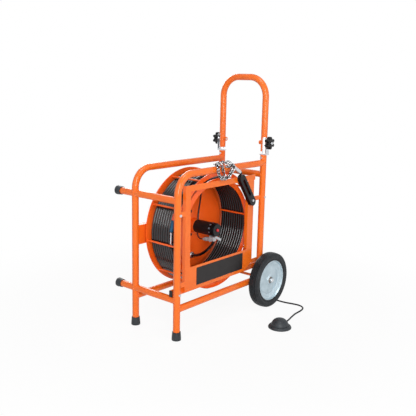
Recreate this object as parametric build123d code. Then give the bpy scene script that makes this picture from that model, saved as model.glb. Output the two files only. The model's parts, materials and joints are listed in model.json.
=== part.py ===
from build123d import *
import math
import os

os.makedirs("parts", exist_ok=True)

# Driving dimensions, in millimetres. "Reach" is measured back from the front legs.

# Cart frame
tube_d = 28.6
tube_wall = 1.8
frame_width = 236.5
post_reach = 554.0
rail_height = 664.5
post_over_rail = 35.5
rail_bend = 80.0
low_cross_height = 162.5
top_cross_height = 565.0
rear_cross_drop = 52.5
horn_length = 106.0
rail_tail = 16.0
foot_d = 38.0
foot_height = 34.0
foot_floor = 8.0
cap_d = 38.0
cap_length = 28.0
cap_floor = 6.0
rubber_taper = 2.0

# Wheels and axle
wheel_d = 254.0
axle_reach = 566.0
axle_d = 12.7
tyre_width = 44.0
tyre_crown = 2.0
tyre_shoulder = 9.0
bead_rise = 12.0
tread_share = 0.86
rim_d = 184.0
rim_width = 34.0
rim_sheet = 2.5
rim_step = 4.0
disc_depth = 8.0
disc_land = 24.0
hub_cone = 10.0
hub_edge = 3.0
hub_d = 30.0
hub_inside = 26.0
hub_outside = 16.0
wheel_gap = 5.0
spacer_d = 20.0
axle_cap_d = 20.0
axle_cap_length = 9.0

# Folding handle
handle_height = 1036.5
handle_bend = 85.0
handle_gap = 16.0
pivot_rise = 54.0
strap_width = 24.0
strap_sheet = 3.0
strap_stand_off = 3.0
strap_rise = 78.0
plug_length = 26.0
bracket_bolt_drop = 12.5
stud_d = 10.0
weld_nut_d = 18.0
weld_nut_length = 9.0
knob_d = 56.0
knob_arm = 11.0
knob_hub_d = 28.0
knob_thickness = 19.0
knob_lobes = 6

# Front panel, guard bar and reel beam
sheet = 2.0
panel_left = 44.0
panel_from_post = 64.0
panel_bottom = 186.0
panel_below_rail = 46.5
panel_corner = 57.0
panel_corner_rise = 32.0
ear_length = 7.0
border_front = 30.0
border_rear = 41.0
border_bottom = 99.0
border_top = 24.0
opening_corner = 4.0
flange_depth = 14.0
tab_height = 20.0
upper_tab = 510.0
lower_tab = 222.0
guard_depth = 16.0
guard_tall = 25.0
guard_wall = 1.6
guard_front = 8.0
guard_rear = 16.0
beam_tall = 82.0
beam_drop = 10.0
beam_web = 5.0
beam_flange = 18.0
bolt_d = 6.0
bolt_head_d = 11.0
bolt_head = 4.0

# Reel. Depths are measured along Y from the middle plane of the cart, the panel side being minus.
reel_reach = 279.0
reel_height = 397.0
reel_d = 504.0
reel_gap = 3.65
ring_sheet = 4.5
outer_ring_width = 19.5
inner_ring_lap = 4.5
inner_ring_width = 21.5
dish_face = 48.0
dish_flange_width = 47.0
dish_shoulder = 46.0
dish_drop = 16.0
dish_rim = 80.0
rim_lip = 6.0
rod_d = 8.0
outer_rods = 10
outer_rod_in = 7.0
outer_rod_angle = 7.0
inner_rods = 4
inner_rod_angle = 10.0
spindle_d = 25.0
spindle_flange_d = 70.0
spindle_flange = 6.0
reel_hub_d = 50.0
reel_hub_flange_d = 120.0
bush_d = 32.0
bush_length = 14.0
dish_hole_d = 10.0
high_hole_r = 67.0
high_hole_angle = 106.0
low_hole_r = 43.0
low_hole_angle = 248.0
retainer_d = 36.0
retainer_sheet = 3.0
retainer_bolt_d = 8.0
retainer_head_d = 15.0
retainer_head = 6.0

# Drive on the reel
boss_d = 64.0
boss_bore = 48.0
motor_back = 25.0
motor_d = 57.0
motor_front = -57.0
end_cap_d = 59.0
end_cap_front = -88.0
end_cap_face = 5.0
notches = 10
notch_width = 9.0
notch_depth = 3.5
button_d = 13.0
button_out = 4.5
button_travel = 3.0
button_seat = 4.0
coupling_drop = 44.5
coupling_tilt = 10.0
coupling_back = -12.0
coupling_d = 18.0
coupling_neck_d = 12.0
journal_d = 8.0
bracket_front = -56.0
bracket_sheet = 4.0
bracket_width = 20.0
outlet_front = -75.0
outlet_size = 18.0
wing_length = 40.0
wing_width = 10.0
wing_turn = 30.0
cable_d = 6.5
thin_cable_d = 5.0
entry_size = 14.0
gland_d = 22.0
gland_length = 8.0
gland_flange_d = 30.0
gland_flange = 2.5
gland_lining = 1.3

# Flexible shaft
shaft_d = 12.4
turn_gap = 0.5
half_turns = 17
first_turn_in = 10.0
first_angle = 10.0
inner_layers = 12.2
core_gap_near = 5.5
core_gap_far = 3.0
ferrule_d = 9.0
ferrule_length = 40.0
ball_d = 12.0
sleeve_d = 14.0
sleeve_length = 45.0
bit_d = 15.0
bit_length = 26.0
tool_gap = 1.2
tool_shift = 2.5

# Stowed chain knocker. "Back" is measured forward from the panel's rear edge.
tool_strap_width = 36.0
tool_strap_sheet = 18.0
slot_width = 13.0
slot_run = 79.0
slot_shift = 16.0
strap_bolt_in = 7.5
neck_d = 12.0
collar_d = 16.0
collar_bore = 12.4
link_wire = 4.0
link_inside = 15.5
link_gap = 7.0
link_pitch = 13.0
chain_over = 2.5
chain_beside = 0.7
strap_low_back = 26.5
strap_low_drop = 162.5
strap_high_back = 105.0
strap_high_drop = 52.5
collar_low_back = 136.5
collar_low_drop = 19.0
collar_high_back = 180.0
collar_high_rise = 5.5

# Foot control
pedal_d = 99.0
pedal_rim = 12.0
pedal_floor = 3.0
dome_d = 76.0
dome_height = 41.0
dome_skirt = 4.0
dome_shoulder = 12.0
dome_crown = 9.0
pedal_travel = 7.0
hose_d = 7.0
coil_gap = 0.6
coil_d = 76.0
coil_half_turns = 7
switch_depth = 34.0
switch_width = 28.0
switch_bottom = 150.0
switch_top = 206.0
barb_d = 6.0
barb_length = 12.0
barb_from_post = 38.0

# Fits
running_fit = 0.06
slip_fit = 0.1
bolt_fit = 0.15
seat_gap = 0.3

# Places that follow from the dimensions above. The origin is the middle of the footprint.
tube_r = tube_d / 2
wheel_r = wheel_d / 2
front_reach = max(foot_d, cap_d) / 2
guard_height = low_cross_height + tube_r + seat_gap + guard_tall / 2
post_height = rail_height + post_over_rail
rear_cross_height = rail_height - rear_cross_drop
handle_end = post_height + handle_gap
pivot_height = post_height + pivot_rise
panel_right = post_reach - panel_from_post
panel_top = rail_height - panel_below_rail
opening_left = panel_left + border_front
opening_right = panel_right - border_rear
opening_bottom = panel_bottom + border_bottom
opening_top = panel_top - border_top
near_ring_depth = tube_r + seat_gap + guard_depth + reel_gap - frame_width / 2
shaft_pitch = shaft_d + turn_gap
hose_pitch = hose_d + coil_gap
wheel_stack = tube_r + wheel_gap + hub_inside + hub_outside + axle_cap_length
far_spacer = horn_length - wheel_stack
x_leg = front_reach - (front_reach + axle_reach + wheel_r) / 2
x_axle = x_leg + axle_reach
x_reel = x_leg + reel_reach
y_mid = (wheel_stack - horn_length) / 2
reel_r = reel_d / 2


def cart(reach, depth, height):
    """Point given from the front legs, the middle plane and the floor."""
    return Vector(x_leg + reach, y_mid + depth, height)


def on_reel(radius, angle, depth):
    """Point given by its radius and angle about the reel, and its depth."""
    turn = math.radians(angle)
    across = radius * math.cos(turn)
    up = radius * math.sin(turn)
    return Vector(x_reel + across, y_mid + depth, reel_height + up)


def near_reel(across, depth, up):
    """Point given from the reel's axis."""
    return Vector(x_reel + across, y_mid + depth, reel_height + up)


def bar(start, end, diameter):
    """Round bar between two points."""
    line = Vector(end) - Vector(start)
    section = Plane(origin=start, z_dir=line) * Circle(diameter / 2)
    return extrude(section, amount=line.length)


def pipe(start, end):
    """Straight frame tube between two points."""
    bore = tube_d - 2 * tube_wall
    return bar(start, end, tube_d) - bar(start, end, bore)


def bent_pipe(points, bend):
    """Frame tube bent along the points."""
    path = FilletPolyline(*points, radius=bend)
    section = Circle(tube_r) - Circle(tube_r - tube_wall)
    return sweep(Plane(origin=path @ 0, z_dir=path % 0) * section, path=path)


def turned(profile, x, y, z):
    """Solid turned about Y from a closed profile of radius and depth."""
    face = Pos(x, y, z) * make_face(Polyline(*profile, close=True))
    return revolve(face, axis=Axis((x, 0, z), (0, 1, 0)))


def front_plane(depth):
    """Upright plane facing the panel side; its X is reach and its Y is height."""
    return Plane(origin=cart(0, depth, 0), x_dir=(1, 0, 0), z_dir=(0, -1, 0))


def bolt(seat, direction, length):
    """Bolt with a round head outside the seat and its shank running in along the direction."""
    way = Vector(direction)
    shank = bar(seat, Vector(seat) + way * length, bolt_d)
    return shank + bar(seat, Vector(seat) - way * bolt_head, bolt_head_d)


def bolt_hole(seat, direction, length):
    """Hole for that bolt, a little longer than its shank."""
    way = Vector(direction)
    over = way * bolt_head
    return bar(Vector(seat) - over, Vector(seat) + way * length + over, bolt_d + 2 * bolt_fit)


def bend_radii(points):
    """Radius at each inner point: 0.45 of the shorter run over the tangent of half the turn."""
    radii = []
    for before, here, after in zip(points, points[1:], points[2:]):
        run_in = Vector(here) - Vector(before)
        run_out = Vector(after) - Vector(here)
        half = math.radians(run_in.get_angle(run_out)) / 2
        radii.append(0.45 * min(run_in.length, run_out.length) / math.tan(half))
    return radii


def cord(name, points, diameter):
    """Eight-sided cord through the points; prints its tightest bend and compares its volume."""
    radii = bend_radii(points)
    path = FilletPolyline(*points, radius=radii)
    section = Plane(origin=path @ 0, z_dir=path % 0) * RegularPolygon(diameter / 2, 8)
    solid = sweep(section, path=path)
    expected = path.length * section.area
    print(name, "tightest bend", round(min(radii), 1), "length", round(path.length, 1),
          "volume ratio", round(solid.volume / expected, 4))
    return solid


def wound(name, plane, radius, pitch, half_turns, diameter):
    """Coil of tilted half turns round the plane's normal, with a straight run at each end.

    Each half turn lies in the plane of its own chord and its first tangent, so that the turns
    run on without a kink. The section is six-sided. Prints the least gap between turns.
    """
    def point(x, y, z):
        return plane.from_local_coords(Vector(x, y, z))

    edges = [Line(point(radius, -diameter, 0), point(radius, 0, 0))]
    samples = []
    side = 1
    for index in range(half_turns):
        low = pitch / 2 * index
        high = low + pitch / 2
        reach = math.hypot(radius, pitch / 4)
        start = point(side * radius, 0, low)
        middle = point(0, side * reach, (low + high) / 2)
        end = point(-side * radius, 0, high)
        arc = ThreePointArc(start, middle, end)
        edges.append(arc)
        samples += [arc @ (step / 24) for step in range(24)]
        side = -side
    top = pitch / 2 * half_turns
    edges.append(Line(point(side * radius, 0, top), point(side * radius, side * diameter, top)))
    path = Wire([edge.edge() for edge in edges])
    section = Plane(origin=path @ 0, z_dir=path % 0) * RegularPolygon(diameter / 2, 6)
    apart = 36
    least = min((a - b).length for i, a in enumerate(samples) for b in samples[i + apart:])
    print(name, "length", round(path.length, 1), "least gap to itself", round(least - diameter, 2))
    return sweep(section, path=path)


def mirrored(shape):
    """The same piece on the far side of the cart."""
    return mirror(shape, about=Plane(origin=(0, y_mid, 0), z_dir=(0, 1, 0)))


# Side frames, posts and rails
near_depth = -frame_width / 2
far_depth = frame_width / 2
leg_near = bar(cart(0, near_depth, 0), cart(0, near_depth, post_height), tube_d)
leg_far = bar(cart(0, far_depth, 0), cart(0, far_depth, post_height), tube_d)
post_core_near = bar(cart(post_reach, near_depth, 0), cart(post_reach, near_depth, post_height), tube_d)
post_core_far = mirrored(post_core_near)
low_rail_core = bar(
    cart(0, near_depth, wheel_r), cart(axle_reach + rail_tail, near_depth, wheel_r), tube_d
)
side_points = [
    cart(0, near_depth, foot_floor),
    cart(0, near_depth, rail_height),
    cart(post_reach, near_depth, rail_height),
]
side_frame = bent_pipe(side_points, rail_bend) - post_core_near
axle_hole = bar(
    cart(axle_reach, -frame_width, wheel_r), cart(axle_reach, frame_width, wheel_r), axle_d + 2 * bolt_fit
)
low_rail = pipe(cart(0, near_depth, wheel_r), cart(axle_reach + rail_tail, near_depth, wheel_r))
low_rail = low_rail - leg_near - axle_hole
post = pipe(cart(post_reach, near_depth, wheel_r), cart(post_reach, near_depth, post_height))
post = post - low_rail_core

# Bolts that hold the panel tabs and the guard bar to the near side
tube_face = near_depth - tube_r
leg_tab_bolt = cart(0, tube_face, upper_tab)
post_tab_bolt = cart(post_reach, tube_face, upper_tab)
leg_guard_bolt = cart(0, tube_face, guard_height)
post_guard_bolt = cart(post_reach, tube_face, guard_height)
tab_bolt_length = tube_r
guard_bolt_length = tube_d + guard_wall + 4 * seat_gap
inward = (0, 1, 0)
rearward = (1, 0, 0)
bracket_bolt_length = tube_d + bolt_d
bracket_bolt_height = post_height - bracket_bolt_drop
bracket_bolt_near = cart(post_reach - tube_r, near_depth, bracket_bolt_height)
bracket_bolt_far = cart(post_reach - tube_r, far_depth, bracket_bolt_height)

side_frame_near = side_frame - bolt_hole(leg_tab_bolt, inward, tab_bolt_length)
side_frame_near = side_frame_near - bolt_hole(leg_guard_bolt, inward, guard_bolt_length)
side_frame_far = mirrored(side_frame)
rear_post_far = mirrored(post) - bolt_hole(bracket_bolt_far, rearward, bracket_bolt_length)
rear_post_near = post - bolt_hole(bracket_bolt_near, rearward, bracket_bolt_length)
rear_post_near = rear_post_near - bolt_hole(post_tab_bolt, inward, tab_bolt_length)
rear_post_near = rear_post_near - bolt_hole(post_guard_bolt, inward, guard_bolt_length)
lower_rail_near = low_rail
lower_rail_far = mirrored(low_rail)

# Cross tubes; the front ones run on past the far leg as horns
horn_end = far_depth + horn_length
cap_seat = horn_end - cap_floor


def front_cross(height):
    """Front cross tube and its horn, both welded to the legs."""
    whole = pipe(cart(0, near_depth, height), cart(0, cap_seat, height))
    return whole - leg_near - leg_far


cross_tube_lower = front_cross(low_cross_height)
cross_tube_upper = front_cross(top_cross_height)
rear_cross_tube = pipe(
    cart(post_reach, near_depth, rear_cross_height), cart(post_reach, far_depth, rear_cross_height)
)
rear_cross_tube = rear_cross_tube - post_core_near - post_core_far


def rubber_cap(diameter, length, floor):
    """Rubber end cap standing on the floor, open at the top for a frame tube."""
    top_r = diameter / 2 - rubber_taper
    bore_r = tube_r + slip_fit
    profile = [
        (0, 0), (diameter / 2, 0), (diameter / 2, floor), (top_r, length), (bore_r, length),
        (bore_r, floor), (0, floor),
    ]
    face = make_face(Polyline(*[(r, 0, h) for r, h in profile], close=True))
    return revolve(face, axis=Axis.Z)


foot = rubber_cap(foot_d, foot_height, foot_floor)
near_foot_place = cart(0, near_depth, 0)
far_foot_place = cart(0, far_depth, 0)
rubber_feet = Compound([Pos(*near_foot_place) * foot, Pos(*far_foot_place) * foot])
horn_cap = Rot(X=90) * rubber_cap(cap_d, cap_length, cap_floor)
low_cap_place = cart(0, horn_end, low_cross_height)
top_cap_place = cart(0, horn_end, top_cross_height)
horn_caps = Compound([Pos(*low_cap_place) * horn_cap, Pos(*top_cap_place) * horn_cap])

# Axle and wheels. A spacer on the axle brings the far wheel's cap flush with the horn caps.
axle_end = far_depth + wheel_stack
axle = bar(
    cart(axle_reach, -axle_end + cap_floor, wheel_r),
    cart(axle_reach, axle_end + far_spacer - cap_floor, wheel_r),
    axle_d,
)
spacer_start = far_depth + tube_r + seat_gap
axle = axle + bar(
    cart(axle_reach, spacer_start, wheel_r), cart(axle_reach, spacer_start + far_spacer, wheel_r), spacer_d
)
cap_start = axle_end - axle_cap_length
axle_bore = axle_d / 2 + slip_fit
cap_profile = [
    (0, axle_end), (axle_cap_d / 2 - rubber_taper, axle_end), (axle_cap_d / 2, axle_end - rubber_taper),
    (axle_cap_d / 2, cap_start), (axle_bore, cap_start), (axle_bore, axle_end - cap_floor),
    (0, axle_end - cap_floor),
]
axle_cap = turned(cap_profile, x_axle, y_mid, wheel_r)
axle_caps = Compound([Pos(0, far_spacer, 0) * axle_cap, mirrored(axle_cap)])
wheel_centre = far_depth + tube_r + wheel_gap + hub_inside
rim_r = rim_d / 2
tyre_half = tyre_width / 2
rim_half = rim_width / 2
tread_half = tyre_half * tread_share
bead_half = rim_half + rim_sheet
bead_r = rim_r + bead_rise
shoulder_r = wheel_r - tyre_shoulder
tyre_profile = [
    (rim_r, -bead_half), (bead_r, -tyre_half), (shoulder_r, -tyre_half),
    (wheel_r - tyre_crown, -tread_half),
    (wheel_r, -tread_half / 2), (wheel_r, tread_half / 2), (wheel_r - tyre_crown, tread_half),
    (shoulder_r, tyre_half), (bead_r, tyre_half), (rim_r, bead_half),
]
tyre = turned(tyre_profile, x_axle, y_mid + wheel_centre, wheel_r)
hub_r = hub_d / 2
bore_r = axle_d / 2 + running_fit
disc_out = rim_half - rim_step
disc_in = disc_out - disc_depth
disc_back = disc_in - rim_sheet
land_r = rim_r - disc_land
wheel_profile = [
    (rim_r, -bead_half), (rim_r, bead_half), (rim_r - rim_sheet, bead_half),
    (rim_r - 2 * rim_sheet, disc_out), (land_r, disc_in), (hub_r + hub_cone, disc_in + hub_edge),
    (hub_r, hub_outside - hub_edge), (hub_r - hub_edge, hub_outside), (bore_r, hub_outside),
    (bore_r, -hub_inside), (hub_r, -hub_inside), (hub_r, disc_back), (land_r, disc_back),
    (rim_r - rim_sheet, disc_out - rim_sheet), (rim_r - rim_sheet, -bead_half),
]
wheel = turned(wheel_profile, x_axle, y_mid + wheel_centre, wheel_r)
tyre_far = Pos(0, far_spacer, 0) * tyre
wheel_far = Pos(0, far_spacer, 0) * wheel
tyre_near = mirrored(tyre)
wheel_near = mirrored(wheel)

# Folding handle
stud_hole_d = stud_d + 2 * slip_fit
handle_points = [
    cart(post_reach, near_depth, handle_end),
    cart(post_reach, near_depth, handle_height),
    cart(post_reach, far_depth, handle_height),
    cart(post_reach, far_depth, handle_end),
]
pivot_line = bar(
    cart(post_reach, -frame_width, pivot_height), cart(post_reach, frame_width, pivot_height), stud_hole_d
)
nut_start = far_depth - tube_r + tube_wall / 2
nut_end = far_depth - tube_r - weld_nut_length
weld_nut = bar(
    cart(post_reach, nut_start, pivot_height), cart(post_reach, nut_end, pivot_height), weld_nut_d
)
handle_tube = bent_pipe(handle_points, handle_bend) + weld_nut + mirrored(weld_nut) - pivot_line

# Handle bracket: strap beside the leg, foot across the post top, plug in the post
strap_in = far_depth + tube_r + strap_stand_off
strap_out = strap_in + strap_sheet
strap_top = post_height + strap_rise - strap_width / 2
strap_middle = (post_height + strap_top) / 2
strap_face = Pos(post_reach, strap_middle) * Rectangle(strap_width, strap_top - post_height)
strap_face = strap_face + Pos(post_reach, strap_top) * Circle(strap_width / 2)
strap = extrude(front_plane(strap_out) * strap_face, amount=strap_sheet)
foot_in = far_depth - tube_r
foot_face = Rectangle(strap_width, strap_out - foot_in)
foot_middle = cart(post_reach, (strap_out + foot_in) / 2, post_height)
bracket_foot = extrude(Pos(*foot_middle) * foot_face, amount=strap_sheet)
plug_d = tube_d - 2 * tube_wall - 2 * slip_fit
plug = bar(
    cart(post_reach, far_depth, post_height), cart(post_reach, far_depth, post_height - plug_length), plug_d
)
spacer = bar(
    cart(post_reach, strap_in, pivot_height),
    cart(post_reach, far_depth + tube_r + seat_gap, pivot_height),
    weld_nut_d,
)
handle_bracket_far = strap + bracket_foot + plug + spacer - pivot_line
handle_bracket_far = handle_bracket_far - bolt_hole(bracket_bolt_far, rearward, bracket_bolt_length)
handle_bracket_near = mirrored(handle_bracket_far)

# Star knobs with studs
knob_start = strap_out + seat_gap
knob_r = knob_d / 2
arm_run = knob_r - knob_arm / 2
star = Circle(knob_hub_d / 2)
for lobe in range(knob_lobes):
    arm = Pos(arm_run / 2, 0) * SlotCenterToCenter(arm_run, knob_arm)
    star = star + Rot(Z=360 / knob_lobes * lobe - 90) * arm
star_plane = Plane(
    origin=cart(post_reach, knob_start, pivot_height), x_dir=(1, 0, 0), z_dir=(0, 1, 0)
)
knob_body = extrude(star_plane * star, amount=knob_thickness)
stud = bar(cart(post_reach, knob_start, pivot_height), cart(post_reach, nut_end, pivot_height), stud_d)
knob_cap = bar(
    cart(post_reach, knob_start + knob_thickness, pivot_height),
    cart(post_reach, knob_start + knob_thickness + bolt_head, pivot_height),
    knob_arm,
)
knob_far = knob_body + stud + knob_cap
knob_near = mirrored(knob_far)

# Front panel: plate, tabs to the tubes, turned-back flanges
corner_start = panel_right - panel_corner
ear_foot = opening_top
outline = make_face(Polyline(
    (panel_left, panel_bottom), (corner_start, panel_bottom),
    (panel_right, panel_bottom + panel_corner_rise), (panel_right, ear_foot),
    (panel_right + ear_length, ear_foot), (panel_right + ear_length, panel_top), (panel_left, panel_top),
    close=True,
))
opening_width = opening_right - opening_left
opening_tall = opening_top - opening_bottom
opening_centre = Pos((opening_left + opening_right) / 2, (opening_bottom + opening_top) / 2)
plate = outline - opening_centre * RectangleRounded(opening_width, opening_tall, opening_corner)
left_tab_run = panel_left - tube_r
right_tab_run = post_reach - tube_r - panel_right
for height in (upper_tab, lower_tab):
    plate = plate + Pos(tube_r + left_tab_run / 2, height) * Rectangle(left_tab_run, tab_height)
    right_tab = Pos(panel_right + right_tab_run / 2, height) * Rectangle(right_tab_run, tab_height)
    plate = plate + right_tab
panel_back = near_depth + sheet / 2
panel_face = near_depth - sheet / 2
front_panel = extrude(front_plane(panel_back) * plate, amount=sheet)


def flange(reach, bottom, top):
    """Sheet turned back from the panel, its outer face at the reach."""
    strip = Pos(reach, (bottom + top) / 2) * Rectangle(sheet, top - bottom)
    return extrude(front_plane(near_depth + flange_depth) * strip, amount=flange_depth)


front_panel = front_panel + flange(panel_left + sheet / 2, panel_bottom, panel_top)
front_panel = front_panel + flange(panel_right - sheet / 2, panel_bottom + panel_corner_rise, ear_foot)
clear = opening_corner
front_panel = front_panel + flange(opening_left - sheet / 2, opening_bottom + clear, opening_top - clear)
front_panel = front_panel + flange(opening_right + sheet / 2, opening_bottom + clear, opening_top - clear)

# Guard bar, a rectangular tube bolted to the inside of the near leg and post
guard_near = near_depth + tube_r + seat_gap
guard_middle = guard_near + guard_depth / 2
guard_plane = Plane(
    origin=cart(-guard_front, guard_middle, guard_height), x_dir=(0, 1, 0), z_dir=(1, 0, 0)
)
guard_length = guard_front + post_reach + guard_rear
guard_inside = Rectangle(guard_depth - 2 * guard_wall, guard_tall - 2 * guard_wall)
guard_section = Rectangle(guard_depth, guard_tall) - guard_inside
guard_bar = extrude(guard_plane * guard_section, amount=guard_length)
guard_bar = guard_bar - bolt_hole(leg_guard_bolt, inward, guard_bolt_length)
guard_bar = guard_bar - bolt_hole(post_guard_bolt, inward, guard_bolt_length)
plug_section = Rectangle(
    guard_depth - 2 * guard_wall - 2 * slip_fit, guard_tall - 2 * guard_wall - 2 * slip_fit
)
plug_head = extrude(guard_plane * Rectangle(guard_depth, guard_tall), amount=-bolt_head)
plug_front = plug_head + extrude(guard_plane * plug_section, amount=bolt_head)
guard_end = Plane(
    origin=cart(post_reach + guard_rear, guard_middle, guard_height), x_dir=(0, 1, 0), z_dir=(1, 0, 0)
)
plug_head = extrude(guard_end * Rectangle(guard_depth, guard_tall), amount=bolt_head)
plug_rear = plug_head + extrude(guard_end * plug_section, amount=-bolt_head)
guard_bar_plugs = Compound([plug_front, plug_rear])

# Reel beam, a channel between the far leg and the far post, open to the outside
beam_middle = reel_height - beam_drop
beam_plane = front_plane(far_depth + beam_web / 2 + beam_flange)
web_face = Pos(post_reach / 2, beam_middle) * Rectangle(post_reach, beam_tall)
edge_offset = (beam_tall - beam_web) / 2
beam_flanges = Pos(post_reach / 2, beam_middle + edge_offset) * Rectangle(post_reach, beam_web)
lower_flange = Pos(post_reach / 2, beam_middle - edge_offset) * Rectangle(post_reach, beam_web)
beam_flanges = beam_flanges + lower_flange
reel_beam = extrude(front_plane(far_depth + beam_web / 2) * web_face, amount=beam_web)
reel_beam = reel_beam + extrude(beam_plane * beam_flanges, amount=beam_flange)
reel_beam = reel_beam - leg_far - post_core_far

# Spindle, hub and bushes
web_face_depth = far_depth - beam_web / 2
flange_face = web_face_depth - spindle_flange
dish_back = dish_face + sheet
spindle_r = spindle_d / 2
hub_far = flange_face - seat_gap
retainer_back = dish_back - seat_gap
retainer_hole = bar(
    near_reel(0, retainer_back, 0), near_reel(0, retainer_back + 3 * retainer_bolt_d, 0),
    retainer_bolt_d + 2 * slip_fit,
)
spindle_profile = [
    (0, retainer_back), (spindle_r, retainer_back), (spindle_r, flange_face),
    (spindle_flange_d / 2, flange_face), (spindle_flange_d / 2, web_face_depth), (0, web_face_depth),
]
spindle = turned(spindle_profile, x_reel, y_mid, reel_height) - retainer_hole
retainer_front = retainer_back - retainer_sheet
washer_bore = retainer_bolt_d / 2 + slip_fit
washer_profile = [
    (washer_bore, retainer_front), (retainer_d / 2, retainer_front), (retainer_d / 2, retainer_back),
    (washer_bore, retainer_back),
]
washer = turned(washer_profile, x_reel, y_mid, reel_height)
retainer_bolt = bar(
    near_reel(0, retainer_front, 0), near_reel(0, retainer_back + 2 * retainer_bolt_d, 0), retainer_bolt_d
)
retainer_bolt = retainer_bolt + bar(
    near_reel(0, retainer_front, 0), near_reel(0, retainer_front - retainer_head, 0), retainer_head_d
)
spindle_retainer = Compound([washer, retainer_bolt])



def dish_hole(radius, angle):
    """Hole through the dish and the hub flange behind it."""
    return bar(
        on_reel(radius, angle, dish_face - sheet), on_reel(radius, angle, dish_back + 4 * sheet), dish_hole_d
    )


dish_holes = [dish_hole(high_hole_r, high_hole_angle), dish_hole(low_hole_r, low_hole_angle)]
bush_seat = bush_d / 2 + slip_fit / 2
reel_hub_profile = [
    (bush_seat, dish_back), (reel_hub_flange_d / 2, dish_back),
    (reel_hub_flange_d / 2, dish_back + 2 * sheet),
    (reel_hub_d / 2, dish_back + 2 * sheet), (reel_hub_d / 2, hub_far), (bush_seat, hub_far),
]
reel_hub = turned(reel_hub_profile, x_reel, y_mid, reel_height) - dish_holes
bush_bore = spindle_r + running_fit


def bush(start):
    """Plain bush in the reel hub."""
    ring = [
        (bush_bore, start), (bush_d / 2, start), (bush_d / 2, start + bush_length),
        (bush_bore, start + bush_length),
    ]
    return turned(ring, x_reel, y_mid, reel_height)


hub_bushes = Compound([bush(dish_back), bush(hub_far - bush_length)])

# Back dish with a rounded shoulder, a step wall, a flat flange and a turned-back lip
wall_r = reel_r - dish_flange_width
flat_r = wall_r - dish_shoulder
round_r = wall_r - dish_shoulder / 2
steep_r = wall_r - dish_shoulder / 7
round_depth = dish_face + dish_drop / 7
steep_depth = dish_face + dish_drop / 2
wall_start = dish_face + dish_drop
dish_centre_r = retainer_d / 2 + 2 * slip_fit + sheet
lip = sheet
dish_profile = [
    (dish_centre_r, dish_face), (flat_r, dish_face), (round_r, round_depth), (steep_r, steep_depth),
    (wall_r, wall_start), (wall_r, dish_rim), (reel_r, dish_rim), (reel_r, dish_rim + rim_lip),
    (reel_r - lip, dish_rim + rim_lip), (reel_r - lip, dish_rim + sheet), (wall_r - sheet, dish_rim + sheet),
    (wall_r - sheet, wall_start + sheet / 2), (steep_r, steep_depth + 1.3 * sheet),
    (round_r, round_depth + sheet), (flat_r, dish_back), (dish_centre_r, dish_back),
]
back_dish = turned(dish_profile, x_reel, y_mid, reel_height) - dish_holes

# Near rings and rods
near_ring_back = near_ring_depth + ring_sheet


def flat_ring(inside, width):
    """Flat ring at the near side of the reel."""
    ring = [
        (inside, near_ring_depth), (inside + width, near_ring_depth), (inside + width, near_ring_back),
        (inside, near_ring_back),
    ]
    return turned(ring, x_reel, y_mid, reel_height)


near_outer_ring = flat_ring(reel_r - outer_ring_width, outer_ring_width)
near_inner_ring = flat_ring(wall_r - inner_ring_lap, inner_ring_width)
outer_rod_r = reel_r - outer_rod_in
inner_rod_r = wall_r + rod_d / 2 + slip_fit


def rod_set(radius, count, start_angle):
    """Rods between the near rings and the dish flange."""
    rods = []
    for k in range(count):
        angle = start_angle + 360 / count * k
        rods.append(bar(on_reel(radius, angle, near_ring_back), on_reel(radius, angle, dish_rim), rod_d))
    return Compound(rods)


outer_rod_set = rod_set(outer_rod_r, outer_rods, outer_rod_angle)
inner_rod_set = rod_set(inner_rod_r, inner_rods, inner_rod_angle)

# Motor on the reel's axis
boss_profile = [
    (boss_bore / 2, motor_back), (boss_d / 2, motor_back), (boss_d / 2, dish_face),
    (boss_bore / 2, dish_face),
]
motor_boss = turned(boss_profile, x_reel, y_mid, reel_height)
motor_housing = bar(near_reel(0, motor_back, 0), near_reel(0, motor_front, 0), motor_d)
cap_plane = Plane(origin=near_reel(0, motor_front, 0), x_dir=(1, 0, 0), z_dir=(0, -1, 0))
cap_face = Circle(end_cap_d / 2)
notch_middle = end_cap_d / 2 - notch_depth / 2
for k in range(notches):
    notch = Pos(notch_middle, 0) * Rectangle(2 * notch_depth, notch_width)
    cap_face = cap_face - Rot(Z=360 / notches * k + 180 / notches) * Pos(notch_depth, 0) * notch
cap_run = motor_front - end_cap_front - end_cap_face
front_d = end_cap_d - 2 * notch_depth
motor_end_cap = extrude(cap_plane * cap_face, amount=cap_run)
motor_end_cap = motor_end_cap + bar(
    near_reel(0, motor_front - cap_run, 0), near_reel(0, end_cap_front, 0), front_d
)
button_depth = button_seat + button_travel + seat_gap
button_pocket = bar(
    near_reel(0, end_cap_front, 0), near_reel(0, end_cap_front + button_depth, 0), button_d + 2 * slip_fit
)
motor_end_cap = motor_end_cap - button_pocket
reset_button = bar(
    near_reel(0, end_cap_front - button_out, 0), near_reel(0, end_cap_front + button_seat, 0), button_d
)

# Coupling bracket under the motor, with an outlet for the lead hose and a wing. The coupling's line
# crosses the bracket's front face under the motor and rises towards the panel.
bracket_back = bracket_front + bracket_sheet
pivot = near_reel(0, bracket_front, -coupling_drop)
tilt = math.radians(coupling_tilt)


def tilted(shape):
    """The shape turned about the pivot, from along the reel's axis to along the coupling's line."""
    return Pos(*pivot) * Rot(X=-coupling_tilt) * Pos(*-pivot) * shape


def on_drive(depth):
    """Point of the coupling's line at a depth."""
    return near_reel(0, depth, -coupling_drop - math.tan(tilt) * (depth - bracket_front))


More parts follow.
